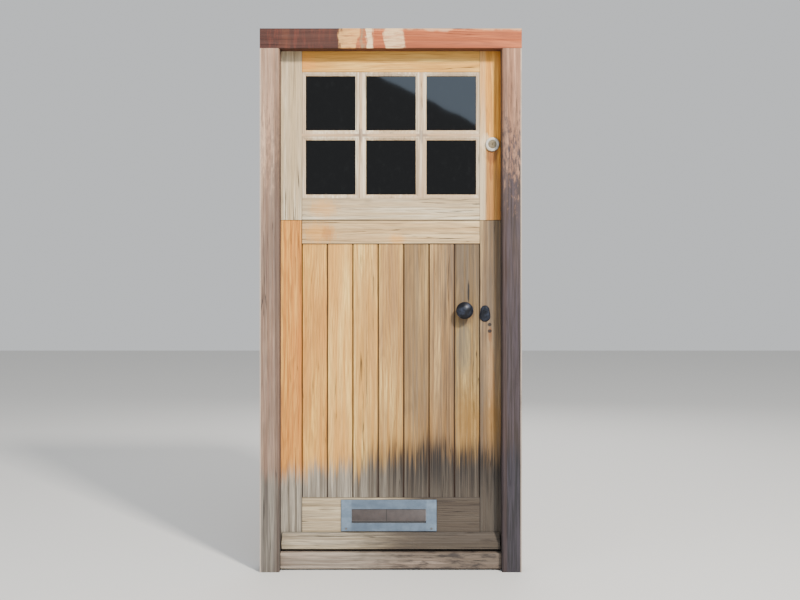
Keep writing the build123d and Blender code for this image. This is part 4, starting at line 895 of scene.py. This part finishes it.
def screw_tree():
    """Makes a head, cuts its slot, and sets one at each point with its axis along the point's own way out."""
    tree = bpy.data.node_groups.new("screw_heads", "GeometryNodeTree")
    tree.interface.new_socket("Geometry", in_out="INPUT", socket_type="NodeSocketGeometry")
    for label, kind, value in (
        ("Head Radius", "NodeSocketFloat", 0.0038), ("Head Height", "NodeSocketFloat", 0.0016),
        ("Slot Width", "NodeSocketFloat", 0.0009), ("Slot Depth", "NodeSocketFloat", 0.0008),
        ("Finish", "NodeSocketMaterial", None),
    ):
        socket = tree.interface.new_socket(label, in_out="INPUT", socket_type=kind)
        if value is not None:
            socket.default_value = value
    tree.interface.new_socket("Geometry", in_out="OUTPUT", socket_type="NodeSocketGeometry")
    given = add_step(tree, "NodeGroupInput").outputs
    radius, height, slot_width, slot_depth = (given[label] for label in
                                              ("Head Radius", "Head Height", "Slot Width", "Slot Depth"))
    shank, long_way, two_deep = (
        add_step(tree, "ShaderNodeMath", {0: value, 1: factor}, operation="MULTIPLY").outputs[0]
        for value, factor in ((radius, 0.5), (radius, 2.4), (slot_depth, 2.0))
    )
    head = add_step(tree, "GeometryNodeMeshCone", {
        "Vertices": head_sides, "Radius Top": radius, "Radius Bottom": shank, "Depth": height,
    }).outputs["Mesh"]
    slot_size = add_step(tree, "ShaderNodeCombineXYZ", {0: long_way, 1: slot_width, 2: two_deep}).outputs[0]
    top = add_step(tree, "ShaderNodeCombineXYZ", {2: height}).outputs[0]
    cutter = add_step(tree, "GeometryNodeMeshCube", {"Size": slot_size}).outputs["Mesh"]
    cutter = add_step(tree, "GeometryNodeTransform", {"Geometry": cutter, "Translation": top}).outputs[0]
    slotted = add_step(tree, "GeometryNodeMeshBoolean", {"Mesh 1": head, "Mesh 2": cutter},
                       operation="DIFFERENCE", solver="EXACT").outputs["Mesh"]
    way_out = add_step(tree, "GeometryNodeInputNamedAttribute", {"Name": "way_out"},
                       data_type="FLOAT_VECTOR").outputs[0]
    facing = add_step(tree, "FunctionNodeAlignRotationToVector", {"Vector": way_out}, axis="Z").outputs[0]
    turn = add_step(tree, "FunctionNodeRandomValue", {"Min": 0.0, "Max": math.pi, "Seed": turn_seed},
                    data_type="FLOAT").outputs[1]
    turn_angles = add_step(tree, "ShaderNodeCombineXYZ", {2: turn}).outputs[0]
    turning = add_step(tree, "FunctionNodeEulerToRotation", {0: turn_angles}).outputs[0]
    stance = add_step(tree, "FunctionNodeRotateRotation", {0: facing, 1: turning},
                      rotation_space="LOCAL").outputs[0]
    placed = add_step(tree, "GeometryNodeInstanceOnPoints", {
        "Points": given["Geometry"], "Instance": slotted, "Rotation": stance,
    }).outputs[0]
    real = add_step(tree, "GeometryNodeRealizeInstances", {0: placed}).outputs[0]
    painted = add_step(tree, "GeometryNodeSetMaterial", {"Geometry": real, "Material": given["Finish"]})
    add_step(tree, "NodeGroupOutput", {0: painted.outputs[0]})
    return tree


screw_heads = screw_tree()


def screws(name, body, spots, finish, slot, **sizes):
    """Screw heads at spots, each a place for the foot of the head and its way out, as one mesh."""
    points = bpy.data.meshes.new(f"{name}_places")
    points.from_pydata([place for place, way in spots], [], [])
    ways = points.attributes.new("way_out", "FLOAT_VECTOR", "POINT")
    ways.data.foreach_set("vector", [part for place, way in spots for part in way])
    holder = bpy.data.objects.new(f"{name}_places", points)
    bpy.context.scene.collection.objects.link(holder)
    growth = holder.modifiers.new("heads", "NODES")
    growth.node_group = screw_heads
    wanted = {"Finish": finish.material, **sizes}
    for item in screw_heads.interface.items_tree:
        if item.in_out == "INPUT" and item.name in wanted:
            growth[item.identifier] = wanted[item.name]
    shown = holder.evaluated_get(bpy.context.evaluated_depsgraph_get())
    mesh = bpy.data.meshes.new_from_object(shown)
    mesh.name = name
    bpy.data.objects.remove(holder)
    piece = bpy.data.objects.new(name, mesh)
    bpy.context.scene.collection.objects.link(piece)
    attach(piece, body)


screw_steel = metal("screw_steel", tone(138, 134, 128), 0.4, 0.9, rust=0.6)
hinge_x, half_flap_gap = -0.4335, 0.0003
outer_screw_y, middle_screw_step, screw_rise = 0.045, 0.010, 0.034


def flap_screws(middles, side):
    """Three screws in each hinge flap, set into the face that shows when the leaf stands open."""
    x = hinge_x + side * half_flap_gap
    middle_screw_y = outer_screw_y - middle_screw_step
    row = ((outer_screw_y, -screw_rise), (middle_screw_y, 0.0), (outer_screw_y, screw_rise))
    return [((x, y, middle + rise), (-side, 0, 0)) for middle in middles for y, rise in row]


def face_screws(y, *places):
    """Screws driven through a plate into the timber behind it, seen from indoors."""
    return [((x, y, z), (0, 1, 0)) for x, z in places]


lower_middles, upper_middles = (0.340, 1.150), (1.480, 1.840)
for name, body, middles, side in (
    ("lower_hinge_screws", "lower_leaf", lower_middles, 1),
    ("upper_hinge_screws", "upper_leaf", upper_middles, 1),
    ("jamb_hinge_screws", "frame", lower_middles + upper_middles, -1),
):
    screws(name, body, flap_screws(middles, side), screw_steel, "hinge_steel",
           **{"Head Radius": 0.0034, "Head Height": 0.0013})

lock_face, night_face, link_face = 0.0738, 0.0788, 0.0544
lock_corners = [(x, z) for x in (0.238, 0.418) for z in (0.934, 1.036)]
night_corners = [(x, z) for x in (0.352, 0.421) for z in (1.605, 1.655)]
link_corners = [(x, z) for x in (0.375, 0.399) for z in (1.381, 1.403)]
keep_x = 0.474
for name, body, places, sizes in (
    ("lock_screws", "lower_leaf", face_screws(lock_face, *lock_corners), {}),
    ("night_latch_screws", "upper_leaf", face_screws(night_face, *night_corners), {}),
    ("lock_keep_screws", "frame", face_screws(lock_face, (keep_x, 0.940), (keep_x, 1.030)), {}),
    ("night_keep_screws", "frame", face_screws(night_face, (keep_x, 1.610), (keep_x, 1.650)), {}),
    ("link_plate_screws", "upper_leaf", face_screws(link_face, *link_corners), {"Head Radius": 0.003}),
):
    screws(name, body, places, screw_steel, "bolt_steel", **sizes)

letter_screw_z = 0.153
letter_places = [((x, plate_face, letter_screw_z), (0, -1, 0)) for x in (-0.172, 0.156)]
screws("letter_plate_screws", "lower_leaf", letter_places, screw_steel, "zinc_grey", **{"Head Radius": 0.004})
